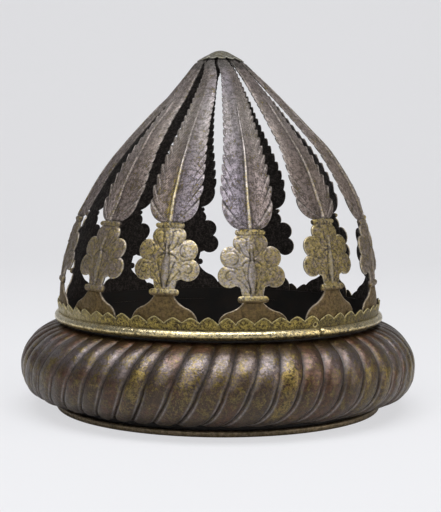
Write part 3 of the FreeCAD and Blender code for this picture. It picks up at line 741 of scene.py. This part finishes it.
def scallop_outline():
    """The unrolled band's outline: a plain lower edge and hand-cut scallops above."""
    length = TAU * BAND_INNER
    pitch = length / SCALLOPS
    points = [(x, BAND_BOTTOM) for x in np.arange(SEAM_GAP / 2, length - SEAM_GAP / 2, 1.6)]
    points.append((length - SEAM_GAP / 2, BAND_BOTTOM))
    chance = np.random.default_rng(11)
    tops = chance.uniform(-0.55, 0.0, SCALLOPS)
    leans = chance.uniform(-0.1, 0.1, SCALLOPS)
    cuts = chance.uniform(-0.35, 0.35, SCALLOPS + 1)
    depths = chance.uniform(-0.5, 0.3, SCALLOPS + 1)
    for index in reversed(range(SCALLOPS)):
        low = index * pitch + (cuts[index] if index else SEAM_GAP / 2)
        high = (index + 1) * pitch + (cuts[index + 1] if index < SCALLOPS - 1 else -SEAM_GAP / 2)
        for part in np.linspace(1, 0, 13, endpoint=index == 0):
            leaning = 2 * part - 1 - leans[index]
            arch = np.clip(1 - np.abs(leaning / (1 + abs(leans[index]))) ** 1.4, 0, 1)
            base = BAND_TOP - SCALLOP_DEPTH + depths[index + 1] * part + depths[index] * (1 - part)
            points.append((low + (high - low) * part, base + (BAND_TOP + tops[index] - base) * arch))
    return points


def make_band(material):
    loop = scallop_outline()
    length = TAU * BAND_INNER
    hole = bow(length - RIVET_HOLE_INSET, RIVET_HOLE_HEIGHT, RIVET_HOLE, 0, 360, 15)[:-1]
    front = triangulated(loop, 0.8, 0.4, hole)
    back = triangulated(loop, 3.0, 1.5, hole)
    edge = outline_distance(front[0], loop + hole)
    s, z = front[0].T
    flat = on_flat(s, z)
    dents = ripple(flat, 0.12, 5) + 0.5 * ripple(flat, 0.4, 9)
    pitch = length / SCALLOPS
    nearest = np.abs((s / pitch + 0.5) % 1 - 0.5) * pitch
    scallop_foot = BAND_TOP - SCALLOP_DEPTH
    crease = bump_at(nearest, 0.7) * step_up(z, scallop_foot - 4.0, scallop_foot)
    wall = BAND_OUTER - BAND_INNER
    lift = np.clip(wall - 0.22 * bump_at(edge, 0.55) - 0.2 * crease + 0.12 * (dents - 1), 0.35, wall)
    points = np.vstack([round_the_band(s, z, lift), round_the_band(*back[0].T, 0.0)])
    blotch = step_up(ripple(flat, 0.3, 29), 0.25, 0.9) * step_up(ripple(flat, 0.8, 37), -0.3, 0.5)
    foot_line = bump_at(z - BAND_BOTTOM - MOULDING_HEIGHT, 1.4)
    left = step_up(length - s, 130, 170) * step_up(320 - length + s, 0, 60)
    stained = 0.55 * step_up(100 - s, 0, 50)
    # A painted shadow line just inside the outline; the metal has no groove there.
    groove = bump_at(edge - 1.4, 0.6)
    # Painted shade in the valleys between the scallops, with dark blotches, a darker line above the moulding
    # and a stain near the seam.
    dirt = np.maximum.reduce([0.85 * crease, 0.6 * foot_line, 0.8 * blotch, 0.5 * groove, stained])
    dirt = dirt * (1 - bump_at(edge, 0.5)) * (1 - 0.4 * left)
    worn = np.maximum(bump_at(edge, 0.35), 0.3 * left)
    finish_and_light = np.vstack([
        masks(len(s), gilt=0.58 - 0.25 * left, dirt=dirt, cool=0.1 + 0.6 * left, polish=worn),
        hidden(len(back[0])),
    ])
    pattern = np.vstack([flat, on_flat(*back[0].T)])
    faces = shell_faces(front, back)
    piece("band", points, faces, finish_and_light, pattern, material, "scalloped_band")


def swept(section, stations, closed):
    """Points and quads of a section carried round the axis. Each station gives its turn, scale and shift."""
    count = len(section)
    points = []
    for turn, (wide, high), (out, up) in stations:
        for r, z in section:
            reach = out + r * wide
            points.append((reach * math.cos(turn), reach * math.sin(turn), up + z * high))
    faces = []
    steps = len(stations)
    for i in range(steps if closed else steps - 1):
        for j in range(count):
            a, b = i * count + j, i * count + (j + 1) % count
            c, d = ((i + 1) % steps) * count + (j + 1) % count, ((i + 1) % steps) * count + j
            faces.append((a, d, c, b))
    if not closed:
        faces.append(tuple(range(count)))
        faces.append(tuple(range(len(points) - 1, len(points) - count - 1, -1)))
    return np.array(points), faces


def make_moulding(material):
    """Half-round wire with worn ends that meet at the seam, and shallow dents."""
    half = MOULDING_HEIGHT / 2
    bends = np.linspace(-math.pi / 2, math.pi / 2, 15)
    bulge = [(MOULDING_DEPTH * math.cos(a), half * math.sin(a)) for a in bends]
    section = bulge + [(0.0, z) for z in np.linspace(half, -half, 5)[1:-1]]
    start = math.radians(FRONT + SEAM_ANGLE) + SEAM_GAP / 2 / MOULDING_INNER
    end = start + TAU - SEAM_GAP / MOULDING_INNER
    turns = np.linspace(start, end, 900)
    here = about_axis(MOULDING_INNER, turns, np.zeros_like(turns))
    stations = []
    for turn, dent, nick in zip(turns, ripple(here, 0.05, 21), ripple(here, 0.25, 33)):
        from_end = min(turn - start, end - turn) * MOULDING_INNER
        worn = float(step_up(from_end, -0.5, 2.2))
        wide = (0.62 + 0.38 * worn) * (0.955 + 0.045 * dent) - 0.02 * abs(nick)
        high = (0.8 + 0.2 * worn) * (0.98 + 0.02 * nick)
        stations.append((turn, (min(wide, 1.0), min(high, 1.0)), (MOULDING_INNER, BAND_BOTTOM + half)))
    points, faces = swept(section, stations, False)
    across = np.tile([p[1] / half for p in section], len(stations))
    outer = np.tile([p[0] / MOULDING_DEPTH for p in section], len(stations))
    around, from_start, away = [
        np.repeat(angles * MOULDING_INNER, len(section)) for angles in (turns, turns - start, end - turns)
    ]
    patches = 0.55 * step_up(ripple(np.repeat(here, len(section), axis=0), 0.11, 45), 0.0, 0.8)
    near_seam = step_up(30 - np.minimum(from_start, away), 0, 25)
    under = step_up(-across, 0.05, 0.42)
    left = step_up(away, 100, 150) * step_up(320 - away, 0, 60)
    # Painted shade on the underside and where the wire meets the band, with grime patches near the seam; all
    # lighter on the left part.
    dirt = np.maximum.reduce([0.8 * (1 - outer) ** 2, 0.92 * under, 0.5 * patches * near_seam])
    dirt = dirt * (1 - 0.4 * left)
    # Painted highlight along the top half, stronger on the left part.
    bead_top_highlight = (0.75 + 0.35 * left) * step_up(across, -0.3, 0.2) * (1 - patches) * (1 - 0.5 * near_seam)
    finish_and_light = masks(len(points), gilt=0.75, dirt=dirt, cool=0.5 * left, polish=bead_top_highlight)
    pattern = on_flat(around, points[:, 2])
    piece("moulding", points, faces, finish_and_light, pattern, material, "base_moulding")


def make_rim(material):
    """Rolled wire that the helmet stands on, slightly uneven."""
    inner = RING_OUTER + RIM_GAP
    corners = [(0.0, 0.0), (RIM_WIDTH, 0.0), (RIM_WIDTH, RIM_HEIGHT), (0.0, RIM_HEIGHT)]
    section = []
    for (x, z), (sx, sz), start in zip(corners, ((1, 1), (-1, 1), (-1, -1), (1, -1)), (180, 270, 0, 90)):
        soft = RIM_ROUND if x else RIM_CORNER
        section.extend(bow(x + sx * soft, z + sz * soft, soft, start, start + 90, 6))
    turns = np.linspace(0, TAU, 720, endpoint=False)
    here = about_axis(inner, turns, np.zeros_like(turns))
    stations = []
    for turn, slow, quick in zip(turns, ripple(here, 0.03, 4), ripple(here, 0.14, 8)):
        high = min(1.0, 0.95 + 0.05 * slow + 0.04 * quick)
        stations.append((turn, (0.95 + 0.04 * slow + 0.02 * quick, high), (inner, 0.0)))
    points, faces = swept(section, stations, True)
    outer = np.tile([p[0] / RIM_WIDTH for p in section], len(stations))
    finish_and_light = masks(len(points), gilt=0.25 * outer, dirt=0.7 * (1 - outer), cool=0.1, polish=0.3 * outer)
    pattern = on_flat(np.repeat(turns * inner, len(section)), points[:, 2])
    piece("rim", points, faces, finish_and_light, pattern, material, "bottom_rim")


def roll_lean(along):
    """How far round a flute has leant at a place along the section, in degrees."""
    down = 2 * along - 1
    even = (FLUTE_UPPER_LEAN + FLUTE_LOWER_LEAN) / 2
    return -even * down - (FLUTE_LOWER_LEAN - even) * down ** 2


def roll_skin(inset, rows, across):
    """Points of the fluted roll: rows run from the top edge over the outside to the bottom edge."""
    along = 0.35 * (1 - np.cos(np.linspace(0, math.pi, rows))) / 2 + 0.65 * np.linspace(0, 1, rows)
    cell = np.arange(FLUTES * across) / across
    flute = np.floor(cell).astype(int)
    following = (flute + 1) % FLUTES
    part = cell - flute
    chance = np.random.default_rng(7)
    moved = chance.uniform(-0.1, 0.1, FLUTES)
    moved[np.arange(FIRST_GROOVE, FIRST_GROOVE + len(FRONT_GROOVES)) % FLUTES] = FRONT_GROOVES
    sharpness = chance.uniform(0.78, 1.0, FLUTES)
    flatness = chance.uniform(0.0, 0.5, FLUTES)
    sway = chance.uniform(-0.07, 0.07, FLUTES)
    groove = np.abs(2 * part - 1) ** GROOVE_POWER
    groove_depth = np.where(part < 0.5, sharpness[flute], sharpness[following])
    cross = np.clip(groove * groove_depth + flatness[flute] * (1 - groove) * 0.4, 0, 1)
    points = np.zeros((rows, len(cell), 3))
    shade = np.zeros((rows, len(cell), 3))
    for j, a in enumerate(along):
        fade = sine(min(1.0, a / FLUTE_END, (1 - a) / (FLUTE_END / 2)) * 90)
        depth = FLUTE_DEPTH * fade * cross
        bent = moved + sway * math.sin(TAU * a)
        place = cell - 0.5 + fade * (bent[flute] * (1 - part) + bent[following] * part)
        angle = FRONT + roll_lean(a) + place * 360 / FLUTES
        upright = cosine(a * 180)
        fullness = ROLL_UPPER_FULLNESS if upright > 0 else ROLL_LOWER_FULLNESS
        outward = abs(sine(a * 180)) ** (2 / fullness) if 0 < j < rows - 1 else 0.0
        upward = math.copysign(abs(upright) ** (2 / fullness), upright)
        extent = ROLL_RISE if upright > 0 else ROLL_DROP
        reach = ROLL_INNER + (ROLL_WIDTH - inset - depth) * outward
        points[j] = about_axis(reach, np.radians(angle), ROLL_WIDEST + (extent - inset - depth) * upward)
        shade[j] = np.column_stack([groove * fade, np.full(len(cell), upward), flute])
    return points, shade


def strip(low, high, columns):
    """Quads between two closed rows of points that start at low and at high."""
    return [(low + i, low + (i + 1) % columns, high + (i + 1) % columns, high + i) for i in range(columns)]


def grid_faces(rows, columns, start, turned):
    faces = []
    for row in range(start, start + (rows - 1) * columns, columns):
        faces.extend(strip(row, row + columns, columns) if turned else strip(row + columns, row, columns))
    return faces


def make_roll(material):
    across, rows, inner_rows = 18, 72, 24
    outer, shade = roll_skin(0.0, rows, across)
    inner, _ = roll_skin(ROLL_WALL, inner_rows, across)
    columns = FLUTES * across
    flat = outer.reshape(-1, 3)
    dents = ripple(flat, 0.045, 13) * 0.55 + ripple(flat, 0.16, 17) * 0.16
    ring = np.hypot(flat[:, 0], flat[:, 1])
    out = np.column_stack([flat[:, :2] / ring[:, None], (flat[:, 2] - ROLL_WIDEST) / ROLL_RISE])
    out /= np.linalg.norm(out, axis=1)[:, None]
    free = np.repeat(step_up(np.abs(np.linspace(-1, 1, rows)), 1.0, 0.85), columns)
    flat = flat + out * ((np.minimum(dents, 0.0) - 0.05) * free)[:, None]
    shift = len(flat)
    points = np.vstack([flat, inner.reshape(-1, 3)])
    last, inner_last = (rows - 1) * columns, shift + (inner_rows - 1) * columns
    faces = grid_faces(rows, columns, 0, False) + grid_faces(inner_rows, columns, shift, True)
    faces += strip(0, shift, columns) + strip(inner_last, last, columns)
    groove, height, flute = shade.reshape(-1, 3).T
    number = flute.astype(int)
    chance = np.random.default_rng(19)
    gold = chance.uniform(0, 1, FLUTES)[number] ** 2.2
    cool = chance.uniform(0.2, 1, FLUTES)[number]
    crest = 1 - groove
    # Painted highlights: a band along each flute's crest in its upper third, and a thin bright line beside
    # the grooves on the lower half.
    flute_top_highlight = 0.12 * crest * bump_at(height - 0.62, 0.2)
    groove_edge_highlight = 0.5 * bump_at(groove - 0.5, 0.12) * step_up(-height, -0.5, 0.5)
    finish_and_light = np.vstack([
        masks(
            shift,
            gilt=0.1 + (0.1 + 0.62 * gold) * crest * step_up(0.95 - np.abs(height), 0, 0.5),
            # Painted shade: dark in the grooves and over the lower half.
            dirt=np.maximum(1.15 * groove ** GROOVE_POWER, 0.52 * step_up(-height, -0.6, 0.3)),
            # Painted reflection: pale and bluish over the upper part.
            cool=(0.35 + 0.65 * cool) * step_up(height, -0.15, 0.6) * step_up(0.95 - height, 0.0, 0.25),
            polish=flute_top_highlight + groove_edge_highlight,
        ),
        hidden(len(points) - shift),
    ])
    piece("roll", points, faces, finish_and_light, points, material, "turban_roll")


# The cap

def cap_height(radius):
    """Height of the cap's under side before its own gap and wall."""
    centre = cap_line(CAP_CROWN) - CAP_CROWN * tangent(CAP_SLOPE)
    crown = CAP_CROWN / cosine(CAP_SLOPE)
    inside = centre + np.sqrt(np.clip(crown ** 2 - np.minimum(radius, CAP_CROWN) ** 2, 0, None))
    return np.where(radius < CAP_CROWN, inside, cap_line(radius))


def make_cap(material):
    """Thin domed cap with a lobe over each strap, its lobes a little raised at their tips."""
    rings, columns = 22, 240
    chance = np.random.default_rng(3)
    notch = chance.uniform(0.75, 1.15, STRAP_COUNT)
    lobe = chance.uniform(-0.9, 0.0, STRAP_COUNT)
    lift_of = chance.uniform(0.5, 1.0, STRAP_COUNT)
    turn = np.linspace(0, 360, columns, endpoint=False)
    number = np.floor(turn / (2 * HALF_PITCH)).astype(int)
    swell = np.sin((turn / (2 * HALF_PITCH) - number) * math.pi)
    angle = FRONT - HALF_PITCH + turn - CAP_TURN
    front = step_up(cosine(angle - FRONT - CAMERA_AZIMUTH), 0.2, 0.95)
    nick = (1 - swell ** CAP_NOTCH_POWER) * notch[number]
    edge = CAP_RADIUS + lobe[number] * swell - CAP_NOTCH * nick - CAP_FRONT_CUT * front
    skins = []
    for lift in (CAP_GAP + CAP_WALL, CAP_GAP):
        for share in np.linspace(0, 1, rings)[1:]:
            radius = edge * share
            raised = (0.5 * swell * lift_of[number] + CAP_FRONT_RISE * front) * step_up(radius, 7, 14)
            off = lift - (0.25 * step_up(share, 0.9, 1.0) if lift > CAP_WALL else 0.0)
            slope = np.where(radius < CAP_CROWN, 90 - (90 - CAP_SLOPE) * radius / CAP_CROWN, CAP_SLOPE)
            up = cap_height(radius) + (off + raised * 0.6) * sine(slope)
            skins.append(about_axis(radius + off * cosine(slope), np.radians(angle), up))
    tops = [[0.0, 0.0, float(cap_height(0.0)) + lift] for lift in (CAP_GAP + CAP_WALL, CAP_GAP)]
    points = np.vstack([*skins, tops])
    shift = (rings - 1) * columns
    last = shift - columns
    tip, under = 2 * shift, 2 * shift + 1
    faces = grid_faces(rings - 1, columns, 0, True) + grid_faces(rings - 1, columns, shift, False)
    faces += strip(shift + last, last, columns)
    for i in range(columns):
        k = (i + 1) % columns
        faces.append((tip, i, k))
        faces.append((under, shift + k, shift + i))
    points[:shift, 2] += 0.14 * ripple(points[:shift], 0.22, 41)
    ring = np.repeat(np.linspace(0, 1, rings)[1:], columns)
    dirt, worn = 0.6 * bump_at(ring - 0.84, 0.07), 0.7 * step_up(ring, 0.95, 1.0)
    finish_and_light = np.vstack([
        masks(shift, gilt=0.2, dirt=dirt, cool=0.8, polish=worn),
        hidden(shift, 0.2),
        masks(1, gilt=0.2, cool=0.8, polish=0.2),
        hidden(1),
    ])
    piece("cap", points, faces, finish_and_light, points, material, "apex_cap")


# Materials

def linear(red, green, blue):
    """A colour given as 0 to 255 display values."""
    def one(value):
        value /= 255
        return value / 12.92 if value <= 0.04045 else ((value + 0.055) / 1.055) ** 2.4
    return (one(red), one(green), one(blue), 1.0)


# Dark colour for grime, pits and painted shade.
DARK = linear(28, 21, 15)
FOOT_BROWN = linear(110, 84, 40)
WARM_BROWN = linear(72, 42, 24)
PALER = (1.35, 1.33, 1.3, 1.0)

# Scale, detail, roughness and distortion of each noise of a patina, per metre
BROAD, PATCH = (45.0, 3.0, 0.5, 0.4), (170.0, 5.0, 0.6, 0.6)
SPECK, FINE, PITS = (430.0, 3.0, 0.65), (1000.0, 2.0, 0.6), (640.0, 3.0, 0.75)

# Name, display colours of the bare metal, its cool tone and painted bluish reflection, the gilding, the worn
# places and painted highlights, and what differs
PATINAS = {
    "strap": (
        "strap patina", (103, 90, 80), (126, 119, 127), (166, 146, 78), (199, 192, 182),
        {"contrast": (1.58, 0.4), "hatch": True},
    ),
    "band": ("band gilding", (62, 49, 28), (120, 108, 78), (154, 137, 72), (208, 194, 144), {}),
    "moulding": (
        "moulding gilding", (88, 70, 38), (190, 178, 140), (190, 168, 108), (224, 213, 180),
        {"metal": 1.0, "rough": (0.24, 0.4)},
    ),
    "roll": (
        "roll copper", (58, 40, 22), (104, 96, 98), (122, 103, 48), (154, 149, 148),
        {"rough": (0.27, 0.45), "sheen": 0.1, "mottle": 2.6, "spots": 0.8, "warm": WARM_BROWN},
    ),
    "rim": ("rim copper", (104, 86, 64), (126, 116, 104), (140, 122, 78), (178, 166, 140), {}),
    "cap": ("cap copper", (98, 93, 78), (126, 123, 113), (136, 126, 92), (204, 200, 186), {}),
}


class Finish:
    """Builds one node material: small helpers that add a node and give back its output."""

    def __init__(self, name):
        self.material = bpy.data.materials.new(name)
        self.material.use_nodes = True
        self.tree = self.material.node_tree
        self.shader = self.tree.nodes["Principled BSDF"]

    def put(self, socket, value):
        if isinstance(value, bpy.types.NodeSocket):
            self.tree.links.new(value, socket)
        else:
            socket.default_value = value

    def node(self, kind, inputs=(), **settings):
        made = self.tree.nodes.new(kind)
        for key, value in settings.items():
            setattr(made, key, value)
        for key, value in dict(inputs).items():
            self.put(made.inputs[key], value)
        return made

    def attribute(self, name):
        return self.node("ShaderNodeAttribute", attribute_name=name)

    def place(self):
        return self.node("ShaderNodeTexCoord").outputs["Object"]

    def pattern(self):
        """The three pattern coordinates of the mesh."""
        vector = self.attribute("pattern").outputs["Vector"]
        return self.node("ShaderNodeSeparateXYZ", {"Vector": vector}).outputs

    def noise(self, where, scale, detail=4.0, rough=0.55, lean=0.0):
        inputs = {"Vector": where, "Scale": scale, "Detail": detail, "Roughness": rough, "Distortion": lean}
        return self.node("ShaderNodeTexNoise", inputs).outputs["Fac"]

    def math(self, kind, a, b=0.0):
        return self.node("ShaderNodeMath", {0: a, 1: b}, operation=kind).outputs[0]

    def times(self, a, b):
        return self.math("MULTIPLY", a, b)

    def add(self, total, *terms):
        """A value plus others, each given with its weight."""
        for value, weight in terms:
            total = self.math("ADD", total, self.times(value, weight))
        return total

    def centred(self, value):
        return self.math("SUBTRACT", value, 0.5)

    def spread(self, value, low, high, to_low=0.0, to_high=1.0):
        inputs = {"Value": value, "From Min": low, "From Max": high, "To Min": to_low, "To Max": to_high}
        return self.node("ShaderNodeMapRange", inputs, interpolation_type="SMOOTHSTEP").outputs["Result"]

    def blend(self, share, a, b, kind="MIX"):
        inputs = {0: share, 6: a, 7: b}
        return self.node("ShaderNodeMix", inputs, data_type="RGBA", blend_type=kind).outputs[2]

    def bump(self, height, depth, strength):
        inputs = {"Height": height, "Distance": depth, "Strength": strength}
        return self.node("ShaderNodeBump", inputs).outputs["Normal"]

    def set(self, **values):
        for key, value in values.items():
            self.put(self.shader.inputs[key.replace("_", " ").title()], value)


def patina(name, brown, pale, gold, worn, metal=0.85, rough=(0.36, 0.6), sheen=0.0, mottle=1.3, spots=0.9,
           contrast=(1.42, 0.5), hatch=False, warm=None):
    """Worn gilding over patinated copper, with painted shade, highlights and bluish reflections, laid out by
    the mesh's own masks.
    """
    f = Finish(name)
    where = f.place()
    marks = f.attribute("finish_and_light").outputs
    # Alpha carries polished wear and painted highlights; green grime and painted shade; blue a bluish tone
    # and painted bluish reflection.
    polish = marks["Alpha"]
    gilt, stain_and_shade, coolness = f.node("ShaderNodeSeparateColor", {"Color": marks["Color"]}).outputs
    broad, patch, speck, fine, pits = [f.noise(where, *kind) for kind in (BROAD, PATCH, SPECK, FINE, PITS)]
    grain = f.add(f.times(speck, 0.55), (fine, 0.45))
    tone = f.add(f.times(patch, 0.25), (grain, 0.75))
    # The pale colour serves the bluish tone and the painted bluish reflection.
    colour = f.blend(f.times(coolness, f.spread(broad, 0.25, 0.6, 0.6, 1.0)), brown, pale)
    if warm:
        colour = f.blend(f.spread(broad, 0.46, 0.62, 0.0, 0.75), colour, warm)
    colour = f.blend(1.0, colour, f.spread(tone, 0.42, 0.58, *contrast), "MULTIPLY")
    left = f.add(gilt, (f.centred(patch), mottle), (f.centred(speck), 1.2), (f.centred(fine), 2.6))
    bright_gold = f.blend(1.0, gold, f.spread(grain, 0.4, 0.62, 1.3, 0.55), "MULTIPLY")
    colour = f.blend(f.spread(left, 0.35, 0.7, 0.0, 0.9), colour, bright_gold)
    pale_gold = f.blend(1.0, gold, PALER, "MULTIPLY")
    colour = f.blend(f.times(f.spread(pits, 0.4, 0.47, spots, 0.0), gilt), colour, pale_gold)
    colour = f.blend(f.times(f.spread(pits, 0.53, 0.6, 0.0, 1.5 * spots), gilt), colour, DARK)
    if hatch:
        earth = f.blend(1.0, FOOT_BROWN, f.spread(tone, 0.38, 0.62, 1.3, 0.7), "MULTIPLY")
        colour = f.blend(f.spread(f.pattern()[2], -0.9, 0.0, 0.75, 0.0), colour, earth)
    # Grime and painted shade blend towards the dark colour, polished wear and painted highlights towards the
    # worn colour.
    dirt = f.times(stain_and_shade, f.spread(grain, 0.3, 0.6, 0.7, 1.0))
    rubbed_and_highlit = f.times(polish, f.spread(tone, 0.4, 0.62, 1.0, 0.45))
    f.set(base_color=f.blend(f.times(rubbed_and_highlit, 0.8), f.blend(dirt, colour, DARK), worn))
    dull = f.add(f.spread(tone, 0.36, 0.64, *rough), (dirt, 0.25))
    f.set(roughness=f.math("SUBTRACT", dull, f.times(rubbed_and_highlit, 0.12)))
    f.set(metallic=f.math("SUBTRACT", metal, f.times(dirt, 0.5)), coat_weight=sheen, coat_roughness=0.24)
    f.shader.inputs["Coat IOR"].default_value = 1.9
    height = f.add(f.times(patch, 0.8), (speck, 0.8), (fine, 0.3))
    if hatch:
        height = f.math("ADD", height, barb_hatch(f))
    f.set(normal=f.bump(height, 0.0005, 0.85))
    return f.material


def barb_hatch(f):
    """Fine engraved ticks that slant away from the midrib, deepest beside it."""
    across, up, on_feather = f.pattern()
    side = f.math("ABSOLUTE", across)
    slant = f.math("SUBTRACT", up, f.times(side, 0.9))
    wave = f.math("SINE", f.times(slant, TAU / HATCH_PITCH))
    near = f.spread(side, 3.2, 6.5, 1.0, 0.28)
    return f.times(f.times(wave, near), f.times(f.math("MAXIMUM", on_feather, 0.0), 0.85))


def dark_metal(name, colour, light):
    """Oxidised copper for the inside."""
    f = Finish(name)
    where = f.place()
    patch = f.noise(where, 90.0, 5.0, 0.6, 0.5)
    speck = f.noise(where, 700.0, 3.0)
    f.set(base_color=f.blend(f.spread(patch, 0.35, 0.75), colour, light))
    f.set(metallic=0.35, roughness=f.spread(patch, 0.2, 0.8, 0.5, 0.75))
    f.set(normal=f.bump(f.add(patch, (speck, 0.4)), 0.0003, 0.6))
    return f.material


def make_materials():
    made = {"ring": dark_metal("ring copper", linear(20, 16, 12), linear(38, 30, 23))}
    for key, (name, *colours, changes) in PATINAS.items():
        made[key] = patina(name, *[linear(*colour) for colour in colours], **changes)
    return made


# The stage, lights and camera

def camera_sides():
    """Level directions from the axis: towards the camera, and to the camera's right."""
    turn = math.radians(CAMERA_AZIMUTH)
    return Vector((math.sin(turn), -math.cos(turn), 0)), Vector((math.cos(turn), math.sin(turn), 0))


def make_paper():
    """Pale paper that keeps a faint shadow: the camera sees it mostly as an even glow."""
    f = Finish("pale paper")
    f.set(base_color=(0.8, 0.8, 0.81, 1), roughness=0.9)
    seen = f.node("ShaderNodeLightPath").outputs["Is Camera Ray"]
    glow = f.node("ShaderNodeEmission", {"Color": PAPER_GLOW})
    inputs = {0: f.times(seen, PAPER_EVEN), 1: f.shader.outputs[0], 2: glow.outputs[0]}
    mixed = f.node("ShaderNodeMixShader", inputs)
    f.tree.links.new(mixed.outputs[0], f.tree.nodes["Material Output"].inputs["Surface"])
    return f.material


def make_stage():
    """A pale floor that bends up into a backdrop."""
    bend = STAGE_BEND
    turns = np.linspace(0.1, math.pi / 2, 14)
    profile = [(-STAGE_FRONT, 0.0), (STAGE_BACK, 0.0)]
    profile += [(STAGE_BACK + bend * math.sin(a), bend - bend * math.cos(a)) for a in turns]
    profile += [(STAGE_BACK + bend, STAGE_TOP)]
    towards, aside = camera_sides()
    verts = [
        aside * across - towards * back + Vector((0, 0, up))
        for across in (-STAGE_HALF, STAGE_HALF) for back, up in profile
    ]
    count = len(profile)
    faces = [(i, i + count, i + count + 1, i + 1) for i in range(count - 1)]
    mesh = bpy.data.meshes.new("stage")
    mesh.from_pydata(verts, [], faces)
    mesh.polygons.foreach_set("use_smooth", [True] * len(mesh.polygons))
    mesh.materials.append(make_paper())
    add_object("stage", mesh)


def make_lights():
    world = bpy.data.worlds.new("studio")
    bpy.context.scene.world = world
    world.use_nodes = True
    background = world.node_tree.nodes["Background"]
    background.inputs["Color"].default_value = (0.86, 0.88, 0.92, 1)
    background.inputs["Strength"].default_value = 0.26
    towards, aside = camera_sides()
    for name, (ahead, right, up), size, power, colour in LAMPS:
        data = bpy.data.lights.new(name, "AREA")
        data.shape = "RECTANGLE"
        data.size, data.size_y = size
        data.energy = power
        data.color = colour
        lamp = add_object(name, data)
        lamp.location = towards * ahead + aside * right + Vector((0, 0, up))
        lamp.rotation_euler = (Vector(LAMP_TARGET) - lamp.location).to_track_quat("-Z", "Y").to_euler()


def make_camera():
    data = bpy.data.cameras.new("camera")
    data.sensor_width = SENSOR
    data.lens = FOCAL_PIXELS / PHOTO_HEIGHT * SENSOR
    camera = add_object("camera", data)
    camera.location = (camera_sides()[0] * CAMERA_DISTANCE + Vector((0, 0, CAMERA_HEIGHT))) * MM
    aside = math.atan((PHOTO_WIDTH / 2 - AXIS_PIXEL) / FOCAL_PIXELS)
    yaw = Matrix.Rotation(math.radians(CAMERA_AZIMUTH) - aside, 4, "Z")
    pitch = Matrix.Rotation(math.pi / 2 - CAMERA_PITCH, 4, "X")
    roll = Matrix.Rotation(CAMERA_ROLL, 4, "Z")
    camera.rotation_euler = (yaw @ pitch @ roll).to_euler()
    bpy.context.scene.camera = camera


def main():
    materials = make_materials()
    make_straps(materials["strap"])
    make_band(materials["band"])
    make_moulding(materials["moulding"])
    make_roll(materials["roll"])
    make_rim(materials["rim"])
    make_cap(materials["cap"])
    for node in ("head_ring", "apex_backing_plate", "apex_rivet"):
        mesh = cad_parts[node].data
        mesh.materials.clear()
        mesh.materials.append(materials["ring"])
    make_stage()
    make_lights()
    make_camera()
    bpy.context.scene.view_settings.view_transform = "Standard"


main()
